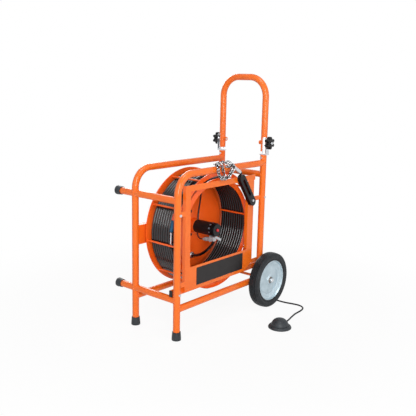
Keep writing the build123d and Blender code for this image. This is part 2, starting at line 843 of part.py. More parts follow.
outlet_low = -coupling_drop - outlet_size / 2
bracket_bottom = outlet_low - sheet
bracket_plane = Plane(origin=near_reel(0, bracket_back, 0), x_dir=(1, 0, 0), z_dir=(0, -1, 0))
bracket_face = Pos(0, bracket_bottom / 2) * Rectangle(bracket_width, -bracket_bottom)
bracket_plate = extrude(bracket_plane * (bracket_face - Circle(motor_d / 2)), amount=bracket_sheet)
outlet_depth = bracket_front + sheet - outlet_front
outlet = Box(outlet_size, outlet_depth, outlet_size)
outlet = Pos(*near_reel(0, outlet_front + outlet_depth / 2, -coupling_drop)) * outlet
wing = Rot(Y=wing_turn) * Box(wing_length, 2 * sheet, wing_width)
wing = Pos(*near_reel(wing_length / 2 - sheet, outlet_front - sheet, -coupling_drop)) * wing
journal_hole = bar(
    near_reel(0, bracket_back + bracket_sheet, -coupling_drop), near_reel(0, bracket_front, -coupling_drop),
    journal_d + 2 * running_fit,
)
cap_room = bar(near_reel(0, motor_front, 0), near_reel(0, end_cap_front, 0), end_cap_d + 2 * seat_gap)
coupling_bracket = bracket_plate + tilted(outlet) + tilted(wing) - tilted(journal_hole) - cap_room

coupling_r = coupling_d / 2
neck_r = coupling_neck_d / 2
coupling_front = bracket_back + coupling_r * math.sin(tilt) + seat_gap
journal_front = bracket_front + seat_gap
third = (coupling_back - coupling_front) / 3
coupling_profile = [
    (0, journal_front), (journal_d / 2, journal_front), (journal_d / 2, coupling_front),
    (coupling_r, coupling_front), (coupling_r, coupling_front + third), (neck_r, coupling_front + third),
    (neck_r, coupling_front + 1.4 * third), (coupling_r, coupling_front + 1.4 * third),
    (coupling_r, coupling_front + 2.2 * third), (neck_r, coupling_front + 2.2 * third),
    (neck_r, coupling_back), (0, coupling_back),
]
drive_coupling = tilted(turned(coupling_profile, x_reel, y_mid, reel_height - coupling_drop))

# Cables and lead hose. Route points are chosen by eye, given from the reel's axis.
motor_under = motor_d / 2 + seat_gap
drive_end = bracket_front + (coupling_back - bracket_front) * math.cos(tilt)
thin_route = [
    near_reel(0, 22, -motor_under),
    near_reel(0, 22, -38.8),
    near_reel(0, 18.2, -46.9),
    near_reel(0, 11.4, -52.6),
    on_drive(2.9),
    on_drive(drive_end + seat_gap),
]
coupling_cable = cord("coupling cable", thin_route, thin_cable_d)
entry_low = 146.0
entry_across = 47.0
cable_depth = dish_face - cable_d / 2 - seat_gap
motor_route = [
    near_reel(0, 21.5, motor_under),
    near_reel(0.5, 22, 40),
    near_reel(6, 25, 58),
    near_reel(17, 30, 81),
    near_reel(28.5, 36, 104),
    near_reel(38, 41, 123),
    near_reel(43.5, cable_depth - 0.5, 135.5),
    near_reel(entry_across, cable_depth, entry_low),
]
motor_cable = cord("motor cable", motor_route, cable_d)
entry_middle = dish_face - (entry_size - sheet) / 2
entry_place = near_reel(entry_across + 2, entry_middle, entry_low + entry_size / 2 + slip_fit)
cable_entry = Pos(*entry_place) * Rot(Y=16) * Box(entry_size, entry_size + sheet, entry_size)
back_dish = back_dish + cable_entry

gland_across = -10.0
gland_up = -134.0
lead_route = [
    near_reel(0, -69, outlet_low - 1.4),
    near_reel(-2.5, -62, -69.5),
    near_reel(-6, -39, -95.5),
    near_reel(-7.5, -14, -115),
    near_reel(-7.5, 8, -127),
    near_reel(-8.5, 28, -132.8),
    near_reel(gland_across, dish_face - 1, gland_up),
]
lead_hose = cord("lead hose", lead_route, shaft_d)
gland_bore = shaft_d / 2 + gland_lining
gland_front = dish_face - gland_length
flange_front = dish_face - gland_flange
gland_profile = [
    (gland_bore, gland_front), (gland_d / 2, gland_front), (gland_d / 2, flange_front),
    (gland_flange_d / 2, flange_front), (gland_flange_d / 2, dish_face), (gland_bore, dish_face),
]
lead_clip = turned(gland_profile, x_reel + gland_across, y_mid, reel_height + gland_up)

# Flexible shaft: inner layers as a plain core, outer layer wound over it
core_near = near_ring_back + core_gap_near
core_far = dish_rim - core_gap_far
core_in = inner_rod_r + rod_d / 2 + slip_fit
core_out = core_in + inner_layers
core_profile = [(core_in, core_near), (core_out, core_near), (core_out, core_far), (core_in, core_far)]
shaft_core = turned(core_profile, x_reel, y_mid, reel_height)
wind_r = core_out + shaft_d / 2 + seat_gap
first_turn = dish_rim - first_turn_in
first = math.radians(first_angle)
wind_plane = Plane(
    origin=near_reel(0, first_turn, 0), x_dir=(math.cos(first), 0, math.sin(first)), z_dir=(0, 1, 0)
)
flex_shaft = wound("outer layer", wind_plane, wind_r, -shaft_pitch, half_turns, shaft_d)

# Stowed end of the shaft, beside the last turn
last_turn = first_turn - shaft_pitch / 2 * half_turns
tool_r = core_out + bit_d / 2 + 4 * seat_gap
degree = math.radians(1) * tool_r
tail = shaft_d + tool_gap
ferrule_start = first_angle + 180 - tail / degree
ferrule_stop = ferrule_start - ferrule_length / degree
sleeve_start = ferrule_stop - (ball_d + tool_gap) / degree
sleeve_stop = sleeve_start - sleeve_length / degree
bit_stop = sleeve_stop - bit_length / degree
tool_depth = last_turn - tool_shift
ferrule_from = on_reel(tool_r, ferrule_start, last_turn)
ferrule_to = on_reel(tool_r, ferrule_stop, tool_depth)
ball_to = on_reel(tool_r, ferrule_stop - ball_d / degree, tool_depth)
ball = bar(ferrule_to, ball_to, ball_d)
ball = chamfer(ball.edges().filter_by(GeomType.CIRCLE), ball_d / 4)
shaft_ferrule = bar(ferrule_from, ferrule_to, ferrule_d) + ball
shaft_sleeve = bar(
    on_reel(tool_r, sleeve_start, tool_depth), on_reel(tool_r, sleeve_stop, tool_depth), sleeve_d
)
bit_gap = tool_gap / degree
bit_from = on_reel(tool_r, sleeve_stop - bit_gap, tool_depth)
shaft_bit = bar(bit_from, on_reel(tool_r, bit_stop - bit_gap, tool_depth), bit_d)

# Chain knocker stowed on the near top rail, and the rubber strap that holds it
strap_low = Vector(panel_right - strap_low_back, rail_height - strap_low_drop)
strap_high = Vector(panel_right - strap_high_back, rail_height - strap_high_drop)
strap_line = strap_high - strap_low
strap_tilt = math.degrees(math.atan2(strap_line.Y, strap_line.X))
strap_centre = (strap_low + strap_high) / 2
strap_blank = SlotCenterToCenter(strap_line.length, tool_strap_width)
strap_blank = strap_blank - Pos(slot_shift, 0) * SlotCenterToCenter(slot_run, slot_width)
strap_place = Pos(strap_centre.X, strap_centre.Y) * Rot(Z=strap_tilt)
tool_strap = extrude(front_plane(panel_face) * strap_place * strap_blank, amount=tool_strap_sheet)
strap_bolt_length = tool_strap_sheet + sheet + bolt_head
strap_bolt_at = strap_low + strap_line.normalized() * strap_bolt_in
strap_bolt = cart(strap_bolt_at.X, panel_face - tool_strap_sheet, strap_bolt_at.Y)
collar_depth = near_depth - tube_r - collar_d / 2 - seat_gap - sheet / 2
collar_low = cart(panel_right - collar_low_back, collar_depth, rail_height - collar_low_drop)
collar_high = cart(panel_right - collar_high_back, collar_depth, rail_height + collar_high_rise)
collar_way = (collar_high - collar_low).normalized()
neck_depth = panel_face - neck_d / 2 - seat_gap
neck_start = cart(strap_high.X, neck_depth, strap_high.Y)
neck = bar(neck_start, collar_low - collar_way * (slip_fit + neck_d / 2), neck_d)
neck_end = collar_low - collar_way * (slip_fit + neck_d / 2)
neck_tip = bar(neck_end - collar_way * (neck_d / 4), neck_end + collar_way * (neck_d / 2), neck_d)
tool_strap = tool_strap + neck + neck_tip
tool_strap = tool_strap - bolt_hole(strap_bolt, inward, strap_bolt_length)
front_panel = front_panel - bolt_hole(strap_bolt, inward, strap_bolt_length)
knocker_collar = bar(collar_low, collar_high, collar_d) - bar(collar_low, collar_high, collar_bore)


def link_ring(long, wide):
    """Long octagon used for both outlines of a chain link."""
    x = long / 2
    y = wide / 2
    cut = wide / 3
    return make_face(Polyline(
        (x, y - cut), (x - cut, y), (cut - x, y), (-x, y - cut), (-x, cut - y), (cut - x, -y), (x - cut, -y),
        (x, cut - y), close=True,
    ))


link_outline = link_ring(link_inside + 2 * link_wire, link_gap + 2 * link_wire)
link_face = link_outline - link_ring(link_inside, link_gap)
chain_link = extrude(link_face, amount=link_wire / 2, both=True)


def chain(points):
    """Links along a smooth line through the points, each turned a quarter from the one before."""
    line = Spline(*points)
    count = int(line.length // link_pitch)
    links = []
    for k in range(count):
        share = (k + 0.5) * link_pitch / line.length
        way = line % share
        side = way.cross(Vector(0, 1, 0)).normalized()
        normal = side if k % 2 else way.cross(side).normalized()
        links.append(Plane(origin=line @ share, x_dir=way, z_dir=normal) * chain_link)
    return links


over_rail = rail_height + tube_r + link_wire + link_gap / 2 + chain_over
beside_rail = near_depth - tube_r - link_wire - link_gap / 2 - chain_beside


def by_collar(back, depth, rise):
    """Point given back from the collar's upper end, and above the middle of the top rail."""
    return cart(panel_right - collar_high_back - back, depth, rail_height + rise)


rail_top = over_rail - rail_height
chain_top = chain([
    by_collar(20, near_depth - 16, rail_top + 1), by_collar(36, near_depth - 5, rail_top + 2),
    by_collar(58, near_depth, rail_top), by_collar(96, near_depth, rail_top),
])
chain_loop = chain([
    by_collar(13, beside_rail - 3, 2), by_collar(18, beside_rail - 1, -15), by_collar(34, beside_rail, -32),
    by_collar(58, beside_rail, -37), by_collar(82, beside_rail, -30), by_collar(97, beside_rail, -8),
    by_collar(100, beside_rail, 12),
])
chain_hang = chain([
    by_collar(72, beside_rail, 15), by_collar(67, beside_rail, -1), by_collar(61, beside_rail, -20),
])
knocker_chains = Compound(chain_top + chain_loop + chain_hang)

frame_bolts = Compound([
    bolt(leg_tab_bolt, inward, tab_bolt_length),
    bolt(post_tab_bolt, inward, tab_bolt_length),
    bolt(leg_guard_bolt, inward, guard_bolt_length),
    bolt(post_guard_bolt, inward, guard_bolt_length),
    bolt(bracket_bolt_near, rearward, bracket_bolt_length),
    bolt(bracket_bolt_far, rearward, bracket_bolt_length),
    bolt(strap_bolt, inward, strap_bolt_length),
])

# Air switch behind the near rear post, with its hose barb underneath
switch_tall = switch_top - switch_bottom
switch_reach = post_reach + tube_r / 2 + switch_depth / 2
switch_place = cart(switch_reach, near_depth, (switch_bottom + switch_top) / 2)
switch_box = Pos(*switch_place) * Box(switch_depth, switch_width, switch_tall)
post_clear = bar(
    cart(post_reach, near_depth, switch_bottom), cart(post_reach, near_depth, switch_top),
    tube_d + 2 * slip_fit,
)
barb_reach = post_reach + barb_from_post
barb_end = cart(barb_reach, near_depth, switch_bottom - barb_length)
barb = bar(cart(barb_reach, near_depth, switch_bottom), barb_end, barb_d)
air_switch = switch_box - post_clear + barb

# Foot pedal on the floor beside the cart
pedal_place = cart(390, -352, 0)
dome_r = dome_d / 2
well_r = dome_r + seat_gap
pedal_profile = [
    (0, 0), (pedal_d / 2, 0), (pedal_d / 2, pedal_rim - rubber_taper),
    (pedal_d / 2 - rubber_taper, pedal_rim),
    (well_r, pedal_rim), (well_r, pedal_floor), (0, pedal_floor),
]


def upright(profile, place):
    """Solid turned about a vertical axis from a profile of radius and height."""
    face = make_face(Polyline(*[(r, 0, h) for r, h in profile], close=True))
    return Pos(*place) * revolve(face, axis=Axis.Z)


hose_run = hose_d / 2
exit_turn = math.radians(8)
exit_way = Vector(math.cos(exit_turn), math.sin(exit_turn), 0)
pedal_side = pedal_place + exit_way * (pedal_d / 2) + Vector(0, 0, hose_run)
pedal_base = upright(pedal_profile, pedal_place)
dome_low = pedal_floor + pedal_travel + seat_gap
dome_profile = [
    (0, dome_low), (dome_r, dome_low), (dome_r, dome_low + dome_skirt),
    (dome_r * 0.93, dome_low + dome_shoulder), (dome_r * 0.78, dome_height - dome_crown),
    (dome_r * 0.55, dome_height - rubber_taper), (0, dome_height),
]
pedal_dome = upright(dome_profile, pedal_place)

# Hose: from the pedal along the floor, a put-away coil, then up to the air switch
coil_r = coil_d / 2
coil_place = cart(614, -90, hose_run)
coil_plane = Plane(origin=coil_place, x_dir=(1, 0, 0), z_dir=(0, 0, 1))
hose_coil = wound("hose coil", coil_plane, coil_r, hose_pitch, coil_half_turns, hose_d)
coil_in = coil_place + Vector(coil_r, -hose_d - seat_gap, 0)
stretch_route = [
    pedal_side + exit_way * seat_gap,
    cart(476, -340, hose_run),
    cart(517, -329, hose_run),
    cart(563, -320, hose_run),
    cart(609, -320, hose_run),
    cart(645, -311, hose_run),
    cart(663, -287, hose_run),
    cart(662, -254, hose_run),
    cart(649, -213, hose_run),
    cart(646, -172, hose_run),
    cart(652, -134, hose_run),
    coil_in,
]
pedal_hose = cord("hose stretch", stretch_route, hose_d)
coil_top = hose_pitch / 2 * coil_half_turns
drop_start = coil_place + Vector(-coil_r, -hose_d - seat_gap, coil_top)
drop_route = [
    drop_start,
    drop_start + Vector(0, -6, 0),
    drop_start + Vector(0.5, -17.5, 2.3),
    drop_start + Vector(2, -27.2, 8.8),
    drop_start + Vector(4.5, -33.7, 18.5),
    drop_start + Vector(8, -36, 30),
    drop_start + Vector(11.5, -33.8, 43),
    drop_start + Vector(14, -29, 56),
    drop_start + Vector(15.5, -24.4, 69),
    drop_start + Vector(16, -21.6, 82),
    barb_end + Vector(0, 0, -15),
    barb_end + Vector(0, 0, -seat_gap),
]
hose_drop = cord("hose drop", drop_route, hose_d)

nodes = {
    "side_frame_near": side_frame_near,
    "side_frame_far": side_frame_far,
    "rear_post_near": rear_post_near,
    "rear_post_far": rear_post_far,
    "lower_rail_near": lower_rail_near,
    "lower_rail_far": lower_rail_far,
    "cross_tube_lower": cross_tube_lower,
    "cross_tube_upper": cross_tube_upper,
    "rear_cross_tube": rear_cross_tube,
    "horn_caps": horn_caps,
    "rubber_feet": rubber_feet,
    "front_panel": front_panel,
    "frame_bolts": frame_bolts,
    "guard_bar": guard_bar,
    "guard_bar_plugs": guard_bar_plugs,
    "reel_beam": reel_beam,
    "spindle": spindle,
    "spindle_retainer": spindle_retainer,
    "axle": axle,
    "axle_caps": axle_caps,
    "handle_bracket_near": handle_bracket_near,
    "handle_bracket_far": handle_bracket_far,
    "tool_strap": tool_strap,
    "knocker_collar": knocker_collar,
    "knocker_chains": knocker_chains,
    "air_switch": air_switch,
    "back_dish": back_dish,
    "near_outer_ring": near_outer_ring,
    "near_inner_ring": near_inner_ring,
    "outer_rods": outer_rod_set,
    "inner_rods": inner_rod_set,
    "reel_hub": reel_hub,
    "hub_bushes": hub_bushes,
    "motor_boss": motor_boss,
    "motor_housing": motor_housing,
    "motor_end_cap": motor_end_cap,
    "shaft_core": shaft_core,
    "flex_shaft": flex_shaft,
    "lead_hose": lead_hose,
    "lead_clip": lead_clip,
    "shaft_ferrule": shaft_ferrule,
    "shaft_sleeve": shaft_sleeve,
    "shaft_bit": shaft_bit,
    "motor_cable": motor_cable,
    "coupling_cable": coupling_cable,
    "coupling_bracket": coupling_bracket,
    "drive_coupling": drive_coupling,
    "reset_button": reset_button,
    "tyre_near": tyre_near,
    "wheel_near": wheel_near,
    "tyre_far": tyre_far,
    "wheel_far": wheel_far,
    "handle_tube": handle_tube,
    "knob_near": knob_near,
    "knob_far": knob_far,
    "pedal_base": pedal_base,
    "pedal_dome": pedal_dome,
    "pedal_hose": pedal_hose,
    "hose_drop": hose_drop,
    "hose_coil": hose_coil,
}
for name, shape in nodes.items():
    export_step(shape, f"parts/{name}.step")
print(len(nodes), "nodes written")
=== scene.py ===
# %% [markdown]
# # A drain cleaning machine, dressed for its picture
# The machine is a welded tube cart on two wheels. A cage reel turns in the cart, a sheathed shaft is
# wound in the reel, and a small motor on the reel's axis spins that shaft. All rigid pieces come as
# solids at their real size. This lesson gives them their finishes and adds what is soft, wound, round
# or small: the hose, the windings, the tyres, the chain, the welds.

# %% Load the machine
import json
import math
import random

import bmesh
import bpy
import numpy as np
from mathutils import Matrix, Vector


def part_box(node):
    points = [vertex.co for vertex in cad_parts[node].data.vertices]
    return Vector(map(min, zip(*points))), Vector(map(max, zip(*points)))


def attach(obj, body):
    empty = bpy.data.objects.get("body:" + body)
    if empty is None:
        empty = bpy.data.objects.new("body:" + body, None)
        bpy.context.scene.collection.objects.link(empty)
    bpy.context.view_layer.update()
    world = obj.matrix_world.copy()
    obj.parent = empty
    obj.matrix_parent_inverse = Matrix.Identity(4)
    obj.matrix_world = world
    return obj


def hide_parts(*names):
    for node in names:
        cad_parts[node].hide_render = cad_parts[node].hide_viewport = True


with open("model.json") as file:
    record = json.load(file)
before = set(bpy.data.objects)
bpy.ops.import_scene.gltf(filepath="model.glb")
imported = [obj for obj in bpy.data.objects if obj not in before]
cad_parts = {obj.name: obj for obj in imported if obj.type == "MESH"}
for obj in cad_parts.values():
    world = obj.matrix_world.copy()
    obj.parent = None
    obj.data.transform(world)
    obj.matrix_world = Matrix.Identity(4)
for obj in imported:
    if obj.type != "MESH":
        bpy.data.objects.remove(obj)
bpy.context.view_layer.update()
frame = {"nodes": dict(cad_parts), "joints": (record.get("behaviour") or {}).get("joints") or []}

# %% [markdown]
# Places are easier to read when they are told as a maker would tell them: so far back from the front
# legs, so far from the middle of the cart, so high above the floor. The feet and the reel's own joint
# give those origins, so nothing here is measured twice.

# %% Places on the machine
MM = 0.001
feet_low, feet_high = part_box("rubber_feet")
leg_x = (feet_low.x + feet_high.x) / 2
middle_y = (feet_low.y + feet_high.y) / 2
reel_joint = next(joint for joint in frame["joints"] if joint["name"] == "reel_spin")
reel_x = reel_joint["pos_m"][0]
reel_z = reel_joint["pos_m"][2]


def cart(reach, depth, height):
    """Point in metres from millimetres behind the legs, beside the middle plane and above the floor."""
    return Vector((leg_x + reach * MM, middle_y + depth * MM, height * MM))


def near_reel(across, depth, up):
    """Point in metres from millimetres about the reel's axis."""
    return Vector((reel_x + across * MM, middle_y + depth * MM, reel_z + up * MM))


def on_reel(radius, angle, depth):
    """Point in metres from its radius and angle about the reel, and its depth."""
    turn = math.radians(angle)
    return near_reel(radius * math.cos(turn), depth, radius * math.sin(turn))


def middle_of(node):
    """Middle of a solid's box."""
    low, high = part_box(node)
    return (low + high) / 2


print("front legs at x", round(leg_x, 4), "reel axis at", round(reel_x, 4), round(reel_z, 4))

# %% [markdown]
# The camera stands where the photographer stood: in front and to the panel side, a little above the
# reel. It could be aimed with a constraint, but a fixed matrix also keeps the slight roll of the
# picture.

# %% Camera
camera_place = cart(-1677.2, -1687.5, 1023.7)
azimuth = math.radians(-49.792)
elevation = math.radians(11.872)
roll = math.radians(1.219)
back = Vector((
    math.sin(azimuth) * math.cos(elevation),
    -math.cos(azimuth) * math.cos(elevation),
    math.sin(elevation),
))
level_right = (-back).cross(Vector((0, 0, 1))).normalized()
level_up = level_right.cross(-back)
camera_right = level_right * math.cos(roll) + level_up * math.sin(roll)
camera_up = level_up * math.cos(roll) - level_right * math.sin(roll)
camera_data = bpy.data.cameras.new("camera")
camera_data.lens = 53.03
camera_data.sensor_width = 36.0
camera = bpy.data.objects.new("camera", camera_data)
bpy.context.scene.collection.objects.link(camera)
turn = Matrix((camera_right, camera_up, back)).transposed().to_4x4()
camera.matrix_world = Matrix.Translation(camera_place) @ turn
bpy.context.scene.camera = camera
print("camera", [round(x, 3) for x in camera_place], "lens", camera_data.lens)

# %% [markdown]
# The picture has a white ground. The world is plain white where the camera, a mirror or glass looks
# at it, and a softer grey where it lights the machine. Raising the lamps until the floor clips would
# bleach the paint too, so the two are kept apart with the Light Path node.

# %% White ground
ambient_light = 0.14
white = (1, 1, 1, 1)


def new_node(nodes, kind, values=None, **settings):
    """Shader node of a kind, with its other settings and the values of its sockets."""
    node = nodes.new(kind)
    for name, value in settings.items():
        setattr(node, name, value)
    for socket, value in (values or {}).items():
        node.inputs[socket].default_value = value
    return node


def seen_directly(nodes, links):
    """Socket that is 1 for camera, mirror and glass rays, and 0 for light on its way to a surface."""
    path = nodes.new("ShaderNodeLightPath")
    seen = path.outputs["Is Camera Ray"]
    for ray in ("Is Glossy Ray", "Is Transmission Ray"):
        either = new_node(nodes, "ShaderNodeMath", operation="MAXIMUM")
        links.new(seen, either.inputs[0])
        links.new(path.outputs[ray], either.inputs[1])
        seen = either.outputs[0]
    return seen


world = bpy.data.worlds.new("studio")
bpy.context.scene.world = world
world.use_nodes = True
sky_nodes = world.node_tree.nodes
sky_links = world.node_tree.links
soft_sky = sky_nodes["Background"]
soft_sky.inputs["Color"].default_value = white
soft_sky.inputs["Strength"].default_value = ambient_light
white_sky = new_node(sky_nodes, "ShaderNodeBackground", {"Color": white, "Strength": 1.0})
sky_mix = sky_nodes.new("ShaderNodeMixShader")
sky_links.new(seen_directly(sky_nodes, sky_links), sky_mix.inputs["Fac"])
sky_links.new(soft_sky.outputs[0], sky_mix.inputs[1])
sky_links.new(white_sky.outputs[0], sky_mix.inputs[2])
sky_links.new(sky_mix.outputs[0], sky_nodes["World Output"].inputs["Surface"])
bpy.context.scene.view_settings.view_transform = "Standard"
print("white ground with ambient light", ambient_light)

# %% [markdown]
# The floor catches the machine's soft shadow. Seen by the camera it is mostly white, and the shadow
# fades out away from the machine, so that no horizon shows. It is a stage piece, not a part.

# %% Floor
floor_half = 9.0
floor_grey = (0.86, 0.86, 0.86, 1)
shadow_full = 0.6
shadow_reach = 1.5
shadow_share = 0.08
floor_mesh = bpy.data.meshes.new("floor")
floor_corners = [(-1, -1, 0), (1, -1, 0), (1, 1, 0), (-1, 1, 0)]
floor_mesh.from_pydata([Vector(c) * floor_half for c in floor_corners], [], [(0, 1, 2, 3)])
floor = bpy.data.objects.new("floor", floor_mesh)
bpy.context.scene.collection.objects.link(floor)
floor_paint = bpy.data.materials.new("floor_white")
floor_paint.use_nodes = True
floor_nodes = floor_paint.node_tree.nodes
floor_links = floor_paint.node_tree.links
floor_nodes.remove(floor_nodes["Principled BSDF"])
matt_floor = new_node(floor_nodes, "ShaderNodeBsdfDiffuse", {"Color": floor_grey})
lit_floor = new_node(floor_nodes, "ShaderNodeEmission", {"Color": white, "Strength": 1.0})
floor_place = floor_nodes.new("ShaderNodeTexCoord")
distance = new_node(floor_nodes, "ShaderNodeVectorMath", operation="LENGTH")
floor_links.new(floor_place.outputs["Object"], distance.inputs[0])
fade_values = {
    "From Min": shadow_full, "From Max": shadow_reach, "To Min": shadow_share, "To Max": 0.0,
}
fade = new_node(floor_nodes, "ShaderNodeMapRange", fade_values, interpolation_type="SMOOTHSTEP")
floor_links.new(distance.outputs["Value"], fade.inputs["Value"])
shadow_mix = floor_nodes.new("ShaderNodeMixShader")
floor_links.new(fade.outputs["Result"], shadow_mix.inputs["Fac"])
floor_links.new(lit_floor.outputs[0], shadow_mix.inputs[1])
floor_links.new(matt_floor.outputs[0], shadow_mix.inputs[2])
floor_mix = floor_nodes.new("ShaderNodeMixShader")
floor_links.new(seen_directly(floor_nodes, floor_links), floor_mix.inputs["Fac"])
floor_links.new(matt_floor.outputs[0], floor_mix.inputs[1])
floor_links.new(shadow_mix.outputs[0], floor_mix.inputs[2])
floor_links.new(floor_mix.outputs[0], floor_nodes["Material Output"].inputs["Surface"])
floor_mesh.materials.append(floor_paint)
print("floor", 2 * floor_half, "m wide, shadow to", shadow_reach, "m")

# %% [markdown]
# The main lamp is a tall, narrow soft box close beside the photographer. An upright tube mirrors what
# is level with it and a turn of the winding what is lower, so the box hangs low, down to half the
# machine's height: each tube gets one pale streak and each turn one bright line. Two lamps side by side
# would draw two lines on each turn, which blur to grey. A weaker lamp faces the panel and shines into
# the reel, one hangs overhead, and one lights the back of the machine, so that it looks right from
# there too. A wide one on the left warms the cross tubes. It is dimmer than the white ground, so it
# draws no bright line.

# %% Lamps
lamp_target = Vector((0, 0, 0.45))


def soft_box(name, side, height, distance, width, tall, power):
    """Area lamp that looks at the machine, placed by its two angles and its distance."""
    azimuth_angle = math.radians(side)
    height_angle = math.radians(height)
    way = Vector((
        math.sin(azimuth_angle) * math.cos(height_angle),
        -math.cos(azimuth_angle) * math.cos(height_angle),
        math.sin(height_angle),
    ))
    data = bpy.data.lights.new(name, "AREA")
    data.shape = "RECTANGLE"
    data.size = width
    data.size_y = tall
    data.energy = power
    lamp = bpy.data.objects.new(name, data)
    bpy.context.scene.collection.objects.link(lamp)
    lamp.location = lamp_target + way * distance
    lamp.rotation_mode = "QUATERNION"
    lamp.rotation_quaternion = (-way).to_track_quat("-Z", "Y")


# name, side and height in degrees, distance, width and tallness in metres, power in watts
for lamp_row in (
    ("main_lamp", -44, 19, 3.4, 0.9, 2.2, 76),
    ("fill_lamp", 8, 12, 3.4, 1.6, 1.6, 17),
    ("top_lamp", -40, 74, 2.8, 1.2, 1.2, 22),
    ("rear_lamp", 150, 28, 3.4, 1.6, 1.6, 46),
    ("side_lamp", -92, 16, 3.4, 2.4, 2.0, 10),
):
    soft_box(*lamp_row)

# %% [markdown]
# Every finish is made of nodes. A short helper class keeps the wiring readable: a *cloud* is a noise
# field measured in the machine's own metres, and it can tint the colour, change the gloss or raise a
# fine relief. Values that are the same all over stay on the shader's sockets.

# %% Finish helper
noise_low = 0.3
noise_high = 0.7


class Finish:
    """A material in the making, with short ways to wire its nodes."""

    def __init__(self, name, roughness, metallic=0.0):
        self.material = bpy.data.materials.new(name)
        self.material.use_nodes = True
        self.nodes = self.material.node_tree.nodes
        self.links = self.material.node_tree.links
        self.shader = self.nodes["Principled BSDF"]
        self.set("Roughness", roughness)
        self.set("Metallic", metallic)

    def set(self, socket, value):
        """Set one of the shader's own sockets."""
        self.shader.inputs[socket].default_value = value

    def fed(self, kind, socket, source, values=None, **settings):
        """New node that is fed at one socket by another node's output."""
        node = new_node(self.nodes, kind, values, **settings)
        self.links.new(source, node.inputs[socket])
        return node

    def steer(self, socket, source):
        """Let a node's output steer one of the shader's sockets."""
        self.links.new(source, self.shader.inputs[socket])

    def place(self, centre=(0, 0, 0)):
        """Position on the machine in metres, counted from the centre."""
        metres = self.nodes.new("ShaderNodeTexCoord").outputs["Object"]
        shift = self.fed("ShaderNodeVectorMath", 0, metres, {1: centre}, operation="SUBTRACT")
        return shift.outputs["Vector"]

    def cloud(self, size, detail=2.0):
        """Soft noise whose blotches are about this size, in millimetres."""
        values = {"Scale": 1 / (size * MM), "Detail": detail}
        return self.fed("ShaderNodeTexNoise", "Vector", self.place(), values).outputs["Fac"]

    def crystals(self, size):
        """Flat cells of this size, in millimetres, as on plated steel."""
        values = {"Scale": 1 / (size * MM)}
        cells = self.fed("ShaderNodeTexVoronoi", "Vector", self.place(), values)
        split = self.fed("ShaderNodeSeparateColor", "Color", cells.outputs["Color"])
        return split.outputs["Red"]

    def rings(self, centre, scale):
        """Rings about the cart's cross axis through the centre, as left by a lathe."""
        values = {"Scale": scale, "Distortion": 1.5}
        kind = {"wave_type": "RINGS", "rings_direction": "Y"}
        wave = self.fed("ShaderNodeTexWave", "Vector", self.place(centre), values, **kind)
        return wave.outputs["Fac"]

    def tint(self, mask, dark, light, low=noise_low, high=noise_high):
        """Base colour between two colours, steered by the mask."""
        ramp = self.fed("ShaderNodeValToRGB", "Fac", mask)
        for stop, position, colour in zip(ramp.color_ramp.elements, (low, high), (dark, light)):
            stop.position = position
            stop.color = (*colour, 1)
        self.steer("Base Color", ramp.outputs["Color"])

    def core(self, centre, radius, colour):
        """Another base colour within a radius, in millimetres, about the cart's cross axis."""
        vector, number = "ShaderNodeVectorMath", "ShaderNodeMath"
        flat = self.fed(vector, 0, self.place(centre), {1: (1, 0, 1)}, operation="MULTIPLY")
        reach = self.fed(vector, 0, flat.outputs["Vector"], operation="LENGTH")
        limit = {1: radius * MM}
        inside = self.fed(number, 0, reach.outputs["Value"], limit, operation="LESS_THAN")
        hub = {"B": (*colour, 1)}
        mix = self.fed("ShaderNodeMix", "Factor", inside.outputs[0], hub, data_type="RGBA")
        self.links.new(self.shader.inputs["Base Color"].links[0].from_socket, mix.inputs["A"])
        self.steer("Base Color", mix.outputs["Result"])

    def gloss(self, mask, smooth, rough):
        """Roughness between two values, steered by the mask."""
        values = {"From Min": noise_low, "From Max": noise_high, "To Min": smooth, "To Max": rough}
        span = self.fed("ShaderNodeMapRange", "Value", mask, values)
        self.steer("Roughness", span.outputs["Result"])

    def relief(self, mask, height):
        """Fine relief of this height, in millimetres."""
        values = {"Strength": 1.0, "Distance": height * MM}
        bump = self.fed("ShaderNodeBump", "Height", mask, values)
        self.steer("Normal", bump.outputs["Normal"])


print("finish helper ready")

# %% [markdown]
# The cart, the panel and the reel are powder coated: a thick, glossy, baked orange with the faint
# "orange peel" ripple of melted powder. The ripple spreads the lamp's mirror image to a soft pale
# streak along each tube. A single flat colour would look like plastic, so the shade drifts slightly
# over the frame. The reel's coat is a redder copy of the cart's with painted shade in it: the deep red
# that the orange shows in the reel's shade.

# %% Orange powder coat


def powder_coat(name, dark, light):
    """Baked orange powder with a fine ripple."""
    finish = Finish(name, 0.3)
    finish.set("Specular IOR Level", 0.4)
    finish.tint(finish.cloud(110, 4.0), dark, light)
    ripple = finish.cloud(2.6, 1.0)
    finish.gloss(ripple, 0.16, 0.24)
    finish.relief(ripple, 0.05)
    return finish.material


orange_coat = powder_coat("orange_powder_coat", (0.86, 0.148, 0.010), (0.91, 0.176, 0.015))
# The reel's copy of the coat is redder: painted shade, as the orange looks deep red in the reel's
# shade.
reel_shaded_coat = powder_coat("reel_shaded_powder_coat", (0.92, 0.116, 0.010), (0.96, 0.138, 0.014))
print("finishes", orange_coat.name, reel_shaded_coat.name)

# %% [markdown]
# Brackets, bolts and fittings are zinc plated: bright, a little blue, with crystals of the plating
# that catch the light one by one. The wheel discs have the same plating on spun sheet, so theirs also
# shows faint rings round the axle; their bare steel hubs are painted dark brown-grey, as painted shade.
# The chain's plating goes from near black to bright in random blotches. The coupling is
# a dull casting, the motor's case is blued, and the spindle and its bushes are bare metal.

# %% Plated and bare metal
ring_scale = 31.25  # puts the rings about 10 mm apart
shaded_hub_r = 15.6


